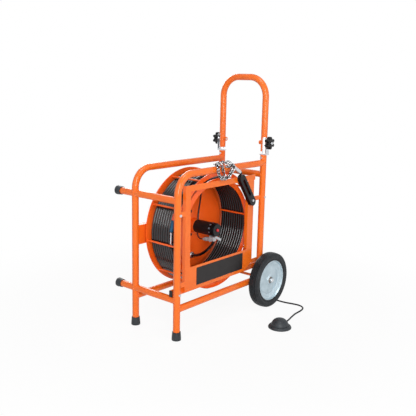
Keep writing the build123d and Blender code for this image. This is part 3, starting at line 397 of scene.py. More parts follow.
def bright_zinc():
    """Zinc plating with a small crystal pattern."""
    finish = Finish("bright_zinc", 0.3, metallic=1.0)
    crystal = finish.crystals(3.5)
    finish.tint(crystal, (0.56, 0.58, 0.60), (0.74, 0.76, 0.78), 0.1, 0.9)
    finish.gloss(finish.cloud(8, 3.0), 0.2, 0.4)
    finish.relief(finish.cloud(0.8, 1.0), 0.02)
    return finish.material


def spun_zinc(name, centre):
    """Plated sheet spun round the centre, with a bare steel hub painted dark brown-grey as painted
    shade.
    """
    finish = Finish(name, 0.35, metallic=0.75)
    rings = finish.rings(centre, ring_scale)
    finish.tint(finish.cloud(30, 4.0), (0.42, 0.52, 0.57), (0.55, 0.65, 0.71))
    # Painted shade: the bare steel hub is darkened all round to brown-grey, as if it lay in shade.
    finish.core(centre, shaded_hub_r, (0.20, 0.175, 0.16))
    finish.gloss(finish.cloud(14, 3.0), 0.3, 0.42)
    finish.relief(rings, 0.02)
    around = new_node(finish.nodes, "ShaderNodeTangent", direction_type="RADIAL", axis="Y")
    finish.steer("Tangent", around.outputs["Tangent"])
    finish.set("Anisotropic", 0.6)
    return finish.material


def cast_zinc():
    """Dull grey die casting of the coupling."""
    finish = Finish("cast_zinc", 0.5, metallic=0.3)
    finish.tint(finish.cloud(6, 3.0), (0.42, 0.43, 0.45), (0.58, 0.59, 0.61))
    finish.gloss(finish.cloud(2, 2.0), 0.42, 0.55)
    finish.relief(finish.cloud(0.9, 2.0), 0.05)
    return finish.material


def blued_steel():
    """Rolled steel of the motor's case, with a thin blue-grey oxide."""
    finish = Finish("blued_steel", 0.4, metallic=0.5)
    finish.tint(finish.cloud(10, 3.0), (0.20, 0.25, 0.31), (0.30, 0.36, 0.43))
    finish.gloss(finish.cloud(3, 2.0), 0.32, 0.46)
    return finish.material


def turned_steel():
    """Bare machined steel with an oily grey shade."""
    finish = Finish("turned_steel", 0.32, metallic=1.0)
    finish.tint(finish.cloud(12, 3.0), (0.38, 0.37, 0.36), (0.52, 0.52, 0.52))
    finish.gloss(finish.cloud(4, 3.0), 0.24, 0.42)
    return finish.material


def bush_bronze():
    """Sintered bronze of the hub bushes."""
    finish = Finish("bush_bronze", 0.45, metallic=1.0)
    finish.tint(finish.cloud(1.2, 2.0), (0.42, 0.27, 0.10), (0.60, 0.41, 0.18))
    finish.relief(finish.cloud(0.6, 1.0), 0.03)
    return finish.material


def chain_plating():
    """Plated chain in random blotches of near black and bright metal."""
    finish = Finish("chain_plating", 0.25, metallic=1.0)
    finish.tint(finish.cloud(4, 3.0), (0.02, 0.02, 0.024), (0.90, 0.91, 0.92), 0.48, 0.6)
    finish.gloss(finish.cloud(3, 2.0), 0.16, 0.36)
    finish.relief(finish.cloud(0.9, 1.0), 0.03)
    return finish.material


zinc = bright_zinc()
casting = cast_zinc()
case_steel = blued_steel()
chain_steel = chain_plating()
steel = turned_steel()
bronze = bush_bronze()
wheel_zinc = {
    side: spun_zinc(f"spun_zinc_{side}", middle_of(f"wheel_{side}")) for side in ("near", "far")
}
print("metal finishes:", zinc.name, steel.name, bronze.name, [m.name for m in wheel_zinc.values()])

# %% [markdown]
# Black is never one black. The tyres, the moulded caps and the pedal are dull rubber, the motor's
# housing is satin plastic, its end cap, the knobs and the strap are glossier, and the sheath of the
# shaft is slick, which gives its turns their bright lines.

# %% Rubber and plastic


def moulded(name, dark, light, smooth, rough, grain, height, shine=0.5):
    """Moulded rubber or plastic with a grain of the given size and height in millimetres."""
    finish = Finish(name, rough)
    finish.set("Specular IOR Level", shine)
    finish.tint(finish.cloud(25, 4.0), dark, light)
    skin = finish.cloud(grain, 2.0)
    finish.gloss(skin, smooth, rough)
    finish.relief(skin, height)
    return finish.material


tyre_rubber = moulded(
    "tyre_rubber", (0.009, 0.011, 0.013), (0.021, 0.024, 0.028), 0.38, 0.55, 1.1, 0.06, shine=0.25)
black_rubber = moulded(
    "black_rubber", (0.014, 0.018, 0.022), (0.026, 0.031, 0.036), 0.42, 0.6, 1.4, 0.05, shine=0.4)
strap_rubber = moulded(
    "strap_rubber", (0.003, 0.003, 0.004), (0.007, 0.007, 0.008), 0.14, 0.26, 2.2, 0.06, shine=0.25)
black_plastic = moulded(
    "black_plastic", (0.006, 0.006, 0.007), (0.012, 0.012, 0.013), 0.34, 0.46, 0.9, 0.03, shine=0.3)
gloss_black = moulded(
    "gloss_black", (0.004, 0.004, 0.005), (0.008, 0.008, 0.009), 0.18, 0.28, 1.5, 0.02, shine=0.25)
slick_sheath = moulded(
    "slick_sheath", (0.004, 0.004, 0.005), (0.008, 0.008, 0.010), 0.1, 0.15, 9.0, 0.006, shine=0.65)
hose_skin = moulded(
    "hose_skin", (0.003, 0.003, 0.004), (0.007, 0.007, 0.008), 0.4, 0.55, 3.0, 0.03, shine=0.12)
blue_grip = moulded(
    "blue_grip", (0.004, 0.08, 0.18), (0.008, 0.12, 0.24), 0.3, 0.42, 1.5, 0.03, shine=0.3)
orange_tip = moulded(
    "orange_tip", (0.74, 0.07, 0.02), (0.84, 0.11, 0.03), 0.3, 0.42, 1.5, 0.03)
red_cap = moulded(
    "red_cap", (0.58, 0.008, 0.014), (0.70, 0.016, 0.022), 0.22, 0.34, 1.5, 0.02)
plate_film = moulded(
    "plate_film", (0.011, 0.009, 0.009), (0.017, 0.014, 0.014), 0.36, 0.48, 2.0, 0.01, shine=0.3)
print("moulded finishes:", tyre_rubber.name, black_rubber.name, black_plastic.name, slick_sheath.name)

# %% [markdown]
# Now each solid gets its finish. The table reads as a parts list does: one finish, then the pieces
# that carry it.

# %% Dress the solids
parts_list = [
    (orange_coat, (
        "side_frame_near", "side_frame_far", "rear_post_near", "rear_post_far", "lower_rail_near",
        "lower_rail_far", "cross_tube_lower", "cross_tube_upper", "rear_cross_tube", "front_panel",
        "guard_bar", "reel_beam", "axle", "handle_tube",
    )),
    (reel_shaded_coat, (
        "back_dish", "near_outer_ring", "near_inner_ring", "outer_rods", "inner_rods", "motor_boss",
    )),
    (zinc, (
        "handle_bracket_near", "handle_bracket_far", "frame_bolts", "lead_clip", "shaft_ferrule",
        "knocker_collar", "axle_caps", "spindle_retainer",
    )),
    (casting, ("coupling_bracket", "drive_coupling")),
    (steel, ("spindle", "reel_hub")),
    (bronze, ("hub_bushes",)),
    (wheel_zinc["near"], ("wheel_near",)),
    (wheel_zinc["far"], ("wheel_far",)),
    (black_rubber, ("horn_caps", "rubber_feet")),
    (strap_rubber, ("tool_strap",)),
    (black_plastic, ("guard_bar_plugs", "air_switch", "motor_housing")),
    (gloss_black, ("motor_end_cap",)),
    (blue_grip, ("shaft_sleeve",)),
    (orange_tip, ("shaft_bit",)),
    (red_cap, ("reset_button",)),
]
for finish, names in parts_list:
    for name in names:
        frame["nodes"][name].material_slots[0].material = finish
print("dressed", sum(len(names) for _, names in parts_list), "solids")

# %% [markdown]
# Every piece made here is added the same way: a name, its mesh or curve, its finish, the body that it
# moves with, and the solids that it stands for.

# %% Add a piece


def add_piece(name, data, finish, body, stands_for=()):
    """Put a mesh or curve into the scene as a piece of the machine."""
    piece = bpy.data.objects.new(name, data)
    bpy.context.scene.collection.objects.link(piece)
    data.materials.append(finish)
    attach(piece, body)
    if stands_for:
        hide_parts(*stands_for)
    return piece


def round_line(name, points, diameter):
    """Curve of one round smooth line with the points as its control points."""
    data = bpy.data.curves.new(name, "CURVE")
    data.dimensions = "3D"
    line = data.splines.new("NURBS")
    line.points.add(len(points) - 1)
    for control, place in zip(line.points, points):
        control.co = (*place, 1)
    line.order_u = 3
    line.use_endpoint_u = True
    data.resolution_u = 6
    data.bevel_depth = diameter / 2
    data.bevel_resolution = 4
    data.use_fill_caps = True
    return data


print("pieces can be added")

# %% [markdown]
# The foot pedal works by air: pressing it sends a puff through a thin hose to a switch behind the
# post. The hose runs from the switch's barb down to a small tied coil of spare length behind the
# wheel, then along the floor to the pedal. A hose has a fixed length, so it is one smooth spline, and
# only the turns of the coil are worked out by a loop.

# %% Foot hose
hose_size = 7.0
hose_z = hose_size / 2
near_depth = -118.25
barb_reach = 592
barb_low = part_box("air_switch")[0].z
barb_place = cart(barb_reach, near_depth, 0)
barb_end = Vector((barb_place.x, barb_place.y, barb_low))
barb_run = 15
coil_centre = cart(614, -90, hose_z)
coil_radius = 38.0
coil_pitch = 7.6
coil_turns = 3.5
coil_lead = 7.3
points_per_turn = 16
coil_top = coil_pitch * coil_turns
drop_start = coil_centre + Vector((-coil_radius, -coil_lead, coil_top)) * MM
drop_route = [
    drop_start + Vector(step) * MM
    for step in (
        (0, 0, 0), (0, -6, 0), (0.5, -17.5, 2.3), (2, -27.2, 8.8), (4.5, -33.7, 18.5), (8, -36, 30),
        (11.5, -33.8, 43), (14, -29, 56), (15.5, -24.4, 69), (16, -21.6, 82),
    )
] + [barb_end + Vector((0, 0, -barb_run)) * MM, barb_end]
coil_route = []
control_radius = coil_radius / math.cos(math.pi / points_per_turn) * MM
for step in range(int(coil_turns * points_per_turn) + 1):
    angle = 2 * math.pi * step / points_per_turn
    rise = coil_pitch * step / points_per_turn * MM
    coil_route.append(coil_centre + Vector((
        control_radius * math.cos(angle), control_radius * math.sin(angle), rise)))
pedal_route = [
    cart(reach, depth, hose_z)
    for reach, depth in (
        (437.8, -345.3), (476, -340), (517, -329), (563, -320), (609, -320), (645, -311), (663, -287),
        (662, -254), (649, -213), (646, -172), (652, -134),
    )
] + [coil_centre + Vector((coil_radius, -coil_lead, 0)) * MM]
hose_route = (pedal_route + coil_route + drop_route)[::-1]
hose = add_piece(
    "foot_hose", round_line("foot_hose", hose_route, hose_size * MM), hose_skin, "cart",
    ("hose_drop", "hose_coil", "pedal_hose"),
)
print("hose route of", len(hose_route), "points")

# %% [markdown]
# The shaft lies in two layers. The inner one winds across the reel and the outer one winds back over
# it, so they are one line here too. A pile of rings would look alike from afar, but a real winding
# climbs from turn to turn, and its highlights slant.

# %% Wound shaft
shaft_size = 12.4
layer_low, layer_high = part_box("flex_shaft")
outer_radius = (layer_high.z - layer_low.z) / 2 / MM - shaft_size / 2
layer_gap = 0.2
inner_radius = outer_radius - shaft_size - layer_gap
inner_near = -66.0
outer_far = 70.0
first_angle = 10.0
outer_turns = 8.5
outer_pitch = 12.9
inner_turns = 10.5
climb_start = 0.965
shaft_points = 24
winding = []
swell = 1 / math.cos(math.pi / shaft_points)
for step in range(int(inner_turns * shaft_points)):
    share = step / (inner_turns * shaft_points)
    angle = first_angle + 360 * (inner_turns - step / shaft_points)
    climb = max(0.0, (share - climb_start) / (1 - climb_start))
    radius = inner_radius + (outer_radius - inner_radius) * climb
    winding.append(on_reel(radius * swell, angle, inner_near + (outer_far - inner_near) * share))
for step in range(int(outer_turns * shaft_points) + 1):
    angle = first_angle - 360 * step / shaft_points
    depth = outer_far - outer_pitch * step / shaft_points
    winding.append(on_reel(outer_radius * swell, angle, depth))
add_piece(
    "wound_shaft", round_line("wound_shaft", winding, shaft_size * MM), slick_sheath, "reel",
    ("flex_shaft", "shaft_core"),
)
print("winding of", inner_turns + outer_turns, "turns")

# %% [markdown]
# Three more lines sit inside the reel. The lead hose carries the shaft from the outlet under the motor
# through a gland in the dish to the winding, and two cables feed the motor and turn the coupling. They
# are held at both ends, so they follow their own routes and need no slack.

# %% Lead hose and cables
lead_steps = (
    (0, -69, -54.9), (-2.5, -62, -69.5), (-6, -39, -95.5), (-7.5, -14, -115), (-7.5, 8, -127),
    (-8.5, 28, -132.8), (-10, 47, -134),
)
motor_steps = (
    (0, 21.5, 28.8), (0.5, 22, 40), (6, 25, 58), (17, 30, 81), (28.5, 36, 104), (38, 41, 123),
    (43.5, 43.9, 135.5), (47, 44.4, 146),
)
coupling_steps = (
    (0, 22, -28.8), (0, 22, -38.8), (0, 18.2, -46.9), (0, 11.4, -52.6), (0, 2.9, -54.9),
    (0, -12.4, -52.2),
)
held_lines = [
    ("shaft_lead", lead_steps, shaft_size, slick_sheath, "sheath", "lead_hose"),
    ("motor_feed", motor_steps, 6.5, black_plastic, "black_plastic", "motor_cable"),
    ("coupling_drive", coupling_steps, 5.0, black_plastic, "black_plastic", "coupling_cable"),
]
for name, steps, size, finish, slot, node in held_lines:
    route = [near_reel(*step) for step in steps]
    add_piece(name, round_line(name, route, size * MM), finish, "reel", (node,))
print("held lines:", [line[0] for line in held_lines])

# %% [markdown]
# Tyres, the pedal and other round pieces are turned like wood on a lathe: a profile of radius and
# depth is carried round an axis. Blender's Screw modifier would do it too, but a few lines of mesh
# code keep the result final and easy to measure. The same skin of square faces between loops of
# points also serves the knobs, the chain and the plate.

# %% Lathe


def new_mesh(name, vertices, faces, sharp):
    """Mesh with doubled points merged, faces turned outward and all but the sharp edges smooth."""
    mesh = bpy.data.meshes.new(name)
    mesh.from_pydata(vertices, [], faces)
    shape = bmesh.new()
    shape.from_mesh(mesh)
    bmesh.ops.remove_doubles(shape, verts=shape.verts, dist=1e-6)
    bmesh.ops.dissolve_degenerate(shape, dist=1e-7, edges=shape.edges)
    bmesh.ops.recalc_face_normals(shape, faces=shape.faces)
    shape.to_mesh(mesh)
    shape.free()
    mesh.shade_smooth()
    mesh.set_sharp_from_angle(angle=math.radians(sharp))
    return mesh


def skin(loops, count, closed, start=0):
    """Square faces between neighbouring loops of points, counted from the start."""
    faces = []
    for loop in range(loops if closed else loops - 1):
        low = start + loop * count
        high = start + (loop + 1) % loops * count
        for k in range(count):
            n = (k + 1) % count
            faces.append((low + k, low + n, high + n, high + k))
    return faces


def lathe(name, profile, centre, axis, steps, sharp=35):
    """Mesh of a closed profile of (radius, along) millimetres turned about the Y or Z axis."""
    vertices = []
    for step in range(steps):
        angle = 2 * math.pi * step / steps
        for radius, along in profile:
            across = radius * math.cos(angle)
            up = radius * math.sin(angle)
            offset = (across, along, up) if axis == "Y" else (across, up, along)
            vertices.append(Vector(centre) + Vector(offset) * MM)
    return new_mesh(name, vertices, skin(steps, len(profile), True), sharp)


print("lathe ready")

# %% [markdown]
# The tyres are solid rubber with a ribbed tread: five ribs and four narrow grooves run round the
# crown, and three more grooves run round each side wall. The solid under it has the plain outline.

# %% Tyres
wheel_r = 127.0
rim_r = 92.0
rib_count = 5
tread_half = 18.5
groove_width = 2.4
groove_depth = 3.0
groove_taper = 0.3
rib_round = 0.5
crown_drop = 2.0
tyre_steps = 96


def tyre_profile():
    """Half of the tyre's section from the rim to the tread, then the ribs, then the other half."""
    side = [
        (rim_r, 19.5), (rim_r + 2.5, 20.6), (rim_r + 5, 20.9), (rim_r + 6, 19.6), (rim_r + 7.5, 19.6),
        (rim_r + 8.5, 21.3), (rim_r + 12, 21.9), (rim_r + 18, 22.0), (rim_r + 19, 20.9),
        (rim_r + 20.5, 20.9), (rim_r + 21.5, 21.9), (wheel_r - 10, 21.7), (wheel_r - 9, 20.3),
        (wheel_r - 7.5, 20.1), (wheel_r - 6.5, 21.0), (wheel_r - 4.5, 20.3), (wheel_r - 3, 19.2),
    ]
    rib_pitch = 2 * tread_half / rib_count
    tread = []
    for rib in range(rib_count):
        start = -tread_half + rib * rib_pitch
        end = start + rib_pitch - groove_width
        for along in (start, start + rib_round, end - rib_round, end):
            crown = wheel_r - crown_drop * (along / tread_half) ** 2
            tread.append((crown - (rib_round if along in (start, end) else 0.0), along))
        if rib < rib_count - 1:
            floor_r = wheel_r - crown_drop * (start / tread_half) ** 2 - groove_depth
            tread.append((floor_r, end + groove_taper))
            tread.append((floor_r, start + rib_pitch - groove_taper))
    return [(r, -a) for r, a in side] + tread + side[::-1]


for side in ("near", "far"):
    tyre = lathe(f"ribbed_tyre_{side}", tyre_profile(), middle_of(f"tyre_{side}"), "Y", tyre_steps)
    add_piece(tyre.name, tyre, tyre_rubber, f"wheel_{side}", (f"tyre_{side}",))
print("tyre section of", len(tyre_profile()), "points")

# %% [markdown]
# The pedal is a rubber dome on a flared base. The dome is soft and crowned, so its profile is a
# smooth curve; the base has a rounded brim.

# %% Pedal
pedal_centre = Vector((middle_of("pedal_base").x, middle_of("pedal_base").y, 0))
dome_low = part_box("pedal_dome")[0].z / MM
dome_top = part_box("pedal_dome")[1].z / MM
dome_r = 38.0
pedal_steps = 64
dome_bell = ((1, 0), (0.985, 0.09), (0.955, 0.2), (0.9, 0.36), (0.82, 0.53), (0.71, 0.7), (0.56, 0.85),
             (0.38, 0.94), (0.18, 0.985))
dome_base = dome_low + 2.0
dome_profile = [(0, dome_low), (dome_r - 1.0, dome_low), (dome_r, dome_low + 1.0)]
for share, lift in dome_bell:
    dome_profile.append((dome_r * share, dome_base + (dome_top - dome_base) * lift))
dome_profile.append((0, dome_top))
dome = lathe("pedal_bellows", dome_profile, pedal_centre, "Z", pedal_steps, sharp=60)
pedal_dome = add_piece(dome.name, dome, black_rubber, "pedal", ("pedal_dome",))
brim_r = (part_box("pedal_base")[1].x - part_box("pedal_base")[0].x) / 2 / MM
base_profile = [
    (0, 0), (brim_r - 1.8, 0), (brim_r - 0.4, 0.7), (brim_r, 2.2), (brim_r - 0.3, 4.2),
    (brim_r - 1.6, 6.6), (brim_r - 3.6, 8.8), (brim_r - 6.0, 10.6), (brim_r - 8.4, 11.7),
    (dome_r + 1.4, 12.0), (dome_r + 0.5, 11.2), (dome_r + 0.35, 3.0), (0, 3.0),
]
base = lathe("pedal_brim", base_profile, pedal_centre, "Z", pedal_steps, sharp=50)
pedal_brim = add_piece(base.name, base, black_rubber, "cart", ("pedal_base",))
print("pedal", round(2 * brim_r, 1), "mm wide,", round(dome_top, 1), "mm high")

# %% [markdown]
# The star knobs clamp the folding handle. Each is a moulded star on a steel stud. Its outline comes
# from a short rule: along a ray, the star reaches as far as the hub or the nearest arm does, and a
# high power blends the two into soft valleys. Stacked outlines with a little inset round the edges.

# %% Star knobs
knob_lobes = 6
knob_tip = 28.0
knob_hub = 17.0
arm_half = 6.4
knob_thick = 19.0
knob_edges = [(0, 2.4), (0.7, 0.9), (2.4, 0), (15.6, 0), (17.9, 0.9), (knob_thick, 2.6)]
knob_boss = [(knob_thick, 11.0), (20.4, 10.0), (20.8, 8.6)]
outline_steps = 96
pivot_z = next(joint for joint in frame["joints"] if joint["name"] == "knob_near_turn")["pos_m"][2]


def star_reach(angle):
    """How far the star reaches from its middle at an angle, in millimetres."""
    lobe_turn = 2 * math.pi / knob_lobes
    off = abs((angle + lobe_turn / 2) % lobe_turn - lobe_turn / 2)
    arm_run = knob_tip - arm_half
    side = arm_half / max(math.sin(off), 1e-6)
    inside = arm_half ** 2 - (arm_run * math.sin(off)) ** 2
    reach = side
    if side * math.cos(off) > arm_run and inside > 0:
        reach = arm_run * math.cos(off) + math.sqrt(inside)
    return min(knob_tip, (knob_hub ** 10 + reach ** 10) ** 0.1)


def star_knob(name, centre, outward):
    """Moulded star whose back is at the centre and whose face looks outward along Y."""
    rings = [(along, lambda turn, inset=inset: star_reach(turn) - inset) for along, inset in knob_edges]
    rings += [(along, lambda turn, radius=radius: radius) for along, radius in knob_boss]
    vertices = []
    for along, reach_at in rings:
        for step in range(outline_steps):
            turn = 2 * math.pi * step / outline_steps
            reach = reach_at(turn)
            offset = (-reach * math.sin(turn), outward * along, reach * math.cos(turn))
            vertices.append(Vector(centre) + Vector(offset) * MM)
    faces = skin(len(rings), outline_steps, False)
    faces.append(tuple(range(outline_steps)))
    faces.append(tuple(range(len(vertices) - outline_steps, len(vertices))))
    return new_mesh(name, vertices, faces, 50)


print("star of", knob_lobes, "arms,", 2 * knob_tip, "mm across")

# %% [markdown]
# The stud runs from the knob through bracket and handle leg. Its thread is a row of small ridges in
# the lathe's profile. A true helix would not show at this size.

# %% Knobs on their studs
post_reach = 554
stud_face = 4.0
stud_steps = 24
thread_pitch = 1.5
thread_outer = 4.9
thread_inner = 4.4
stud_head = [(thread_outer, 0), (thread_outer, 20.8), (5.5, 20.8), (5.5, 22.2), (thread_outer, 22.8),
             (2.6, 23.0), (2.2, 22.0), (0, 22.0)]
for side, outward in (("near", -1), ("far", 1)):
    low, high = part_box(f"knob_{side}")
    face_y = high.y if outward > 0 else low.y
    inner_y = low.y if outward > 0 else high.y
    seat_y = face_y - outward * (knob_thick + stud_face) * MM
    seat = Vector((cart(post_reach, 0, 0).x, seat_y, pivot_z))
    star = star_knob(f"star_knob_{side}", seat, outward)
    add_piece(star.name, star, gloss_black, f"knob_{side}", (f"knob_{side}",))
    stud_run = abs(inner_y - seat.y) / MM
    stud_profile = [(0, -stud_run)]
    for ridge in range(int(stud_run / thread_pitch)):
        start = -stud_run + thread_pitch * ridge
        stud_profile += [(thread_outer, start), (thread_inner, start + thread_pitch / 2)]
    stud_profile = [(radius, outward * along) for radius, along in stud_profile + stud_head]
    stud = lathe(f"knob_stud_{side}", stud_profile, seat, "Y", stud_steps)
    add_piece(stud.name, stud, zinc, f"knob_{side}")
print("knobs", knob_thick, "mm thick, studs", round(stud_run, 1), "mm long")

# %% [markdown]
# Between each handle leg and its bracket lies a half-round saddle of zinc sheet. It spreads the knob's
# clamping force over the tube and folds with the handle. It is a strip of a thin sleeve with a hole for
# the bracket's spacer: points inside the hole are pushed out to its edge.

# %% Handle saddles
saddle_inside = 14.45
saddle_outside = 15.7
saddle_wrap = 78
saddle_below = -46.0
saddle_above = 24.0
saddle_hole = 9.8
wrap_steps = 36
height_steps = 36


def saddle(name, leg, outward):
    """Half sleeve beside a leg, open towards the middle of the cart, with a hole at the pivot."""
    vertices = []
    for radius in (saddle_inside, saddle_outside):
        for row in range(height_steps + 1):
            height = saddle_below + (saddle_above - saddle_below) * row / height_steps
            for column in range(wrap_steps + 1):
                angle = math.radians(saddle_wrap * (2 * column / wrap_steps - 1))
                arc = angle * saddle_outside
                away = math.hypot(arc, height)
                push = max(1.0, saddle_hole / away) if away > 1e-6 else 0.0
                turned = arc * push / saddle_outside
                out = outward * radius * math.cos(turned)
                vertices.append(leg + Vector((radius * math.sin(turned), out, height * push)) * MM)
    across = wrap_steps + 1
    layer = across * (height_steps + 1)
    faces = []
    for row in range(height_steps):
        for column in range(wrap_steps):
            corner = row * across + column
            square = (corner, corner + 1, corner + across + 1, corner + across)
            middle_row = saddle_below + (saddle_above - saddle_below) * (row + 0.5) / height_steps
            middle_turn = math.radians(saddle_wrap * (2 * (column + 0.5) / wrap_steps - 1))
            if math.hypot(middle_turn * saddle_outside, middle_row) > saddle_hole:
                faces.append(square)
    edges = {}
    for face in faces:
        for k in range(4):
            edge = (face[k], face[(k + 1) % 4])
            pair = tuple(sorted(edge))
            edges[pair] = None if pair in edges else edge
    walls = [(a, b, b + layer, a + layer) for a, b in filter(None, edges.values())]
    faces += [tuple(k + layer for k in face) for face in faces] + walls
    return new_mesh(name, vertices, faces, 40)


for side, outward in (("near", -1), ("far", 1)):
    leg = Vector((cart(post_reach, 0, 0).x, middle_of(f"rear_post_{side}").y, pivot_z))
    sheet = saddle(f"handle_saddle_{side}", leg, outward)
    add_piece(sheet.name, sheet, zinc, "handle")
print("saddles", saddle_above - saddle_below, "mm high")

# %% [markdown]
# The chain knocker is a length of welded chain on a collar. Each link is bent from round wire. The
# solids give most links' place and turn: the scatter of a link's corners shows its long, its wide and
# its thin direction, and a round link is drawn along them.

# %% Chain links
link_wire = 5.0
link_straight = 4.25
link_bend = 5.5
link_steps = 28
wire_steps = 10


def link_line():
    """Middle line of a link in its own plane: two half circles and two straights, in millimetres."""
    points = []
    for step in range(link_steps):
        angle = 2 * math.pi * step / link_steps
        shift = link_straight if math.cos(angle) >= 0 else -link_straight
        points.append((shift + link_bend * math.cos(angle), link_bend * math.sin(angle)))
    return points


def links_of(node):
    """Middle and three directions of each loose link in a solid's mesh."""
    shape = bmesh.new()
    shape.from_mesh(frame["nodes"][node].data)
    bmesh.ops.remove_doubles(shape, verts=shape.verts, dist=1e-6)
    left = set(shape.verts)
    found = []
    while left:
        group = [left.pop()]
        for vertex in group:
            for edge in vertex.link_edges:
                other = edge.other_vert(vertex)
                if other in left:
                    left.remove(other)
                    group.append(other)
        corners = np.array([vertex.co for vertex in group])
        middle = corners.mean(axis=0)
        _, directions = np.linalg.eigh(np.cov((corners - middle).T))
        found.append((Vector(middle), [Vector(directions[:, k]) for k in (2, 1, 0)]))
    shape.free()
    return sorted(found, key=lambda link: tuple(link[0]))


def strand(first, last, count):
    """Places of links in a straight run, each turned a quarter from the one before."""
    way = (last - first).normalized()
    side = way.cross(Vector((0, 1, 0))).normalized()
    other = way.cross(side)
    places = []
    for k in range(count):
        across, out = (side, other) if k % 2 else (other, side)
        places.append((first + (last - first) * ((k + 0.5) / count), [way, across, out]))
    return places


print("link of", 2 * (link_straight + link_bend) + link_wire, "mm")

# %% [markdown]
# Twelve more links close the bunch. Three go over the rail, and short straight runs hang from these
# and from the collar. All links are one mesh, so the chain stays one piece.

# %% Hang the chain
tube_r = 14.3
collar_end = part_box("knocker_collar")[0].x
rail_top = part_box("side_frame_near")[1].z


def by_collar(back, depth, rise):
    """Point in metres from millimetres before the collar, beside the middle and above the rail."""
    return Vector((collar_end - back * MM, middle_y + depth * MM, rail_top + rise * MM))


def over_rail(back, lean, reach, flat):
    """Place of a link over the rail, by its lean from upright and its reach from the rail's axis."""
    turn = math.radians(lean)
    out = Vector((0, -math.sin(turn), math.cos(turn)))
    way = Vector((0, -math.cos(turn), -math.sin(turn)))
    along_rail = Vector((1, 0, 0))
    middle = by_collar(back, near_depth, -tube_r) + out * reach * MM
    return middle, [way, along_rail, out] if flat else [way, out, along_rail]


chain_places = links_of("knocker_chains")
for rail_link in ((90.5, 30, 24.0, False), (93, 64, 23.5, True), (68.3, 33, 24.0, False)):
    chain_places.append(over_rail(*rail_link))
for first, last, count in (
    ((12, -136, 11), (-8, -143, -8), 2),
    ((4, -142.5, 3), (42, -141.5, -4), 3),
    ((55, -142, -33), (52, -143, -49), 1),
    ((8, -152, -14), (38, -152, -44), 3),
):
    chain_places += strand(by_collar(*first), by_collar(*last), count)
vertices = []
faces = []
for middle, (along, across, out) in chain_places:
    faces += skin(link_steps, wire_steps, True, len(vertices))
    for a, c in link_line():
        nearest = max(-link_straight, min(link_straight, a))
        away = (along * (a - nearest) + across * c).normalized()
        for k in range(wire_steps):
            angle = 2 * math.pi * k / wire_steps
            offset = (away * math.cos(angle) + out * math.sin(angle)) * (link_wire / 2)
            vertices.append(middle + (along * a + across * c + offset) * MM)
chain_mesh = new_mesh("knocker_links", vertices, faces, 60)
add_piece("knocker_links", chain_mesh, chain_steel, "cart", ("knocker_chains",))
print("chain of", len(chain_places), "links")

# %% [markdown]
# The lower part of the panel carries a black plate. Makers print a name there; this one is left bare.
# It is a thin sheet with round corners, glued flat on the panel.

# %% Bare plate
plate_low = cart(114, 0, 201)
plate_high = cart(422, 0, 275)
plate_corner = 4.0 * MM
plate_thick = 0.9 * MM
plate_wall = 0.6 * plate_thick
plate_bevel = 0.5 * MM
panel_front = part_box("front_panel")[0].y
corner_steps = 6
outline = []
for quarter, (x, z) in enumerate((
    (plate_high.x - plate_corner, plate_high.z - plate_corner),
    (plate_low.x + plate_corner, plate_high.z - plate_corner),
    (plate_low.x + plate_corner, plate_low.z + plate_corner),
    (plate_high.x - plate_corner, plate_low.z + plate_corner),
)):
    for step in range(corner_steps + 1):
        angle = math.pi / 2 * (quarter + step / corner_steps)
        outline.append((x + plate_corner * math.cos(angle), z + plate_corner * math.sin(angle)))
count = len(outline)
plate_middle = (plate_low + plate_high) / 2
vertices = [Vector((x, panel_front, z)) for x, z in outline]
vertices += [Vector((x, panel_front - plate_wall, z)) for x, z in outline]
for x, z in outline:
    inward = Vector((plate_middle.x - x, 0, plate_middle.z - z)).normalized() * plate_bevel
    vertices.append(Vector((x, panel_front - plate_thick, z)) + inward)
faces = [tuple(range(2 * count, 3 * count)), tuple(range(count))] + skin(3, count, False)
plate_mesh = new_mesh("bare_plate", vertices, faces, 30)
add_piece("bare_plate", plate_mesh, plate_film, "cart")
plate_size = (plate_high - plate_low) / MM
print("plate", round(plate_size.x), "by", round(plate_size.z), "mm")

# %% [markdown]
# Where one tube ends on another, a weld runs round the joint. On two tubes of the same size the joint
# follows a saddle: as the line goes round the ending tube, it sinks beside the passing one. The bead is
# a round line with a slightly uneven thickness, painted with the frame.

# %% Weld beads
bead_size = 3.4
bead_points = 28
bead_thin = 0.8
bead_thick = 1.15
bead_dice = random.Random(7)
up = Vector((0, 0, 1))
rearward = Vector((1, 0, 0))
farward = Vector((0, 1, 0))


def weld_bead(name, joint, ending):
    """Bead where a tube that leaves along a direction ends on an upright tube."""
    side = ending.cross(up)
    points = []
    for step in range(bead_points):
        angle = 2 * math.pi * step / bead_points
        rise = math.sqrt(max(0.0, 1 - math.sin(angle) ** 2))
        ring = up * math.cos(angle) + side * math.sin(angle) + ending * rise
        points.append(joint + ring * tube_r * MM)
    data = round_line(name, points, bead_size * MM)
    line = data.splines[0]
    line.use_endpoint_u = False
    line.use_cyclic_u = True
    for control in line.points:
        control.radius = bead_dice.uniform(bead_thin, bead_thick)
    data.bevel_resolution = 2
    data.resolution_u = 3
    add_piece(name, data, orange_coat, "cart")


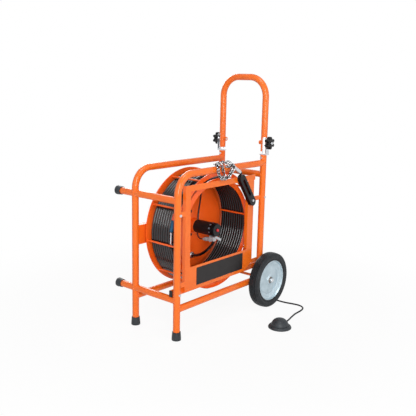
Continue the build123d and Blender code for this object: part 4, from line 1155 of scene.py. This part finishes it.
near_y = middle_of("lower_rail_near").y
far_y = middle_of("lower_rail_far").y
low_rail_z = middle_of("lower_rail_near").z
low_cross_z = middle_of("cross_tube_lower").z
high_cross_z = middle_of("cross_tube_upper").z
rail_z = rail_top - tube_r * MM
rear_cross_z = middle_of("rear_cross_tube").z
post_x = middle_of("rear_post_near").x
joints = [(leg_x, y, low_rail_z, rearward) for y in (near_y, far_y)]
for y, way in ((near_y, farward), (far_y, -farward), (far_y, farward)):
    joints += [(leg_x, y, z, way) for z in (low_cross_z, high_cross_z)]
joints += [(post_x, y, rail_z, -rearward) for y in (near_y, far_y)]
joints += [(post_x, near_y, rear_cross_z, farward), (post_x, far_y, rear_cross_z, -farward)]
for number, (x, y, z, ending) in enumerate(joints):
    weld_bead(f"weld_bead_{number:02d}", Vector((x, y, z)), ending)
print("weld beads:", len(joints))

# %% [markdown]
# Two black plugs close the spare holes of the dish. Each is turned on the lathe: a domed head in front
# of the sheet, and a stem that snaps into the hole. Without them the white ground would shine through.

# %% Dish plugs
dish_face = 48.0
plug_steps = 32
plug_profile = [
    (0, -2.4), (3.4, -2.2), (5.6, -1.6), (6.8, -0.7), (6.9, -0.1), (4.7, -0.1), (4.7, 4.0), (4.9, 4.4),
    (4.7, 4.8), (3.6, 5.6), (0, 5.6),
]
for level, radius, angle in (("high", 67.0, 106.0), ("low", 43.0, 248.0)):
    plug = lathe(f"dish_plug_{level}", plug_profile, on_reel(radius, angle, dish_face), "Y", plug_steps)
    add_piece(plug.name, plug, black_plastic, "reel")
print("plugs in the dish: 2")

# %% [markdown]
# Two small pieces finish the machine. The motor's steel case shows as a blue-grey band through the
# notches of its end cap, and a tie holds the spare turns of the hose together.

# %% Case band and coil tie
cap_low, cap_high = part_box("motor_end_cap")
case_inset = 1.1
case_r = (cap_high.z - cap_low.z) / 2 / MM - case_inset
band_from = 11.0
band_width = 9.0
band_wall = 0.9
band_steps = 72
band_profile = [
    (case_r - 0.3, 0), (case_r, 0.2), (case_r, band_width - 0.2), (case_r - 0.3, band_width),
    (case_r - band_wall, band_width), (case_r - band_wall, 0),
]
band_start = Vector((reel_x, cap_high.y - band_from * MM, reel_z))
band = lathe("motor_case_band", band_profile, band_start, "Y", band_steps)
add_piece(band.name, band, case_steel, "reel")
tie_angle = math.radians(-100)
tie_out = Vector((math.cos(tie_angle), math.sin(tie_angle), 0))
tie_wire = 1.6
tie_gap = 1.2
tie_half = hose_size / 2 + tie_gap
tie_top = coil_top + tie_half
tie_low = -hose_size / 2 + 0.4
tie_points = []
for across, height in ((-1, tie_low), (1, tie_low), (1, tie_top), (-1, tie_top)):
    tie_points.append(coil_centre + (tie_out * (coil_radius + across * tie_half) + up * height) * MM)
tie_data = round_line("coil_tie", tie_points, tie_wire * MM)
tie_data.splines[0].use_endpoint_u = False
tie_data.splines[0].use_cyclic_u = True
add_piece("coil_tie", tie_data, black_plastic, "cart")
print("case band", round(2 * case_r, 1), "mm, coil tie", round(tie_top, 1), "mm high")

# %% [markdown]
# The hose is the machine's one free cord: the pedal at its end can be carried about.

# %% The free hose
print("the hose is the one free cord, 1.41 m long")
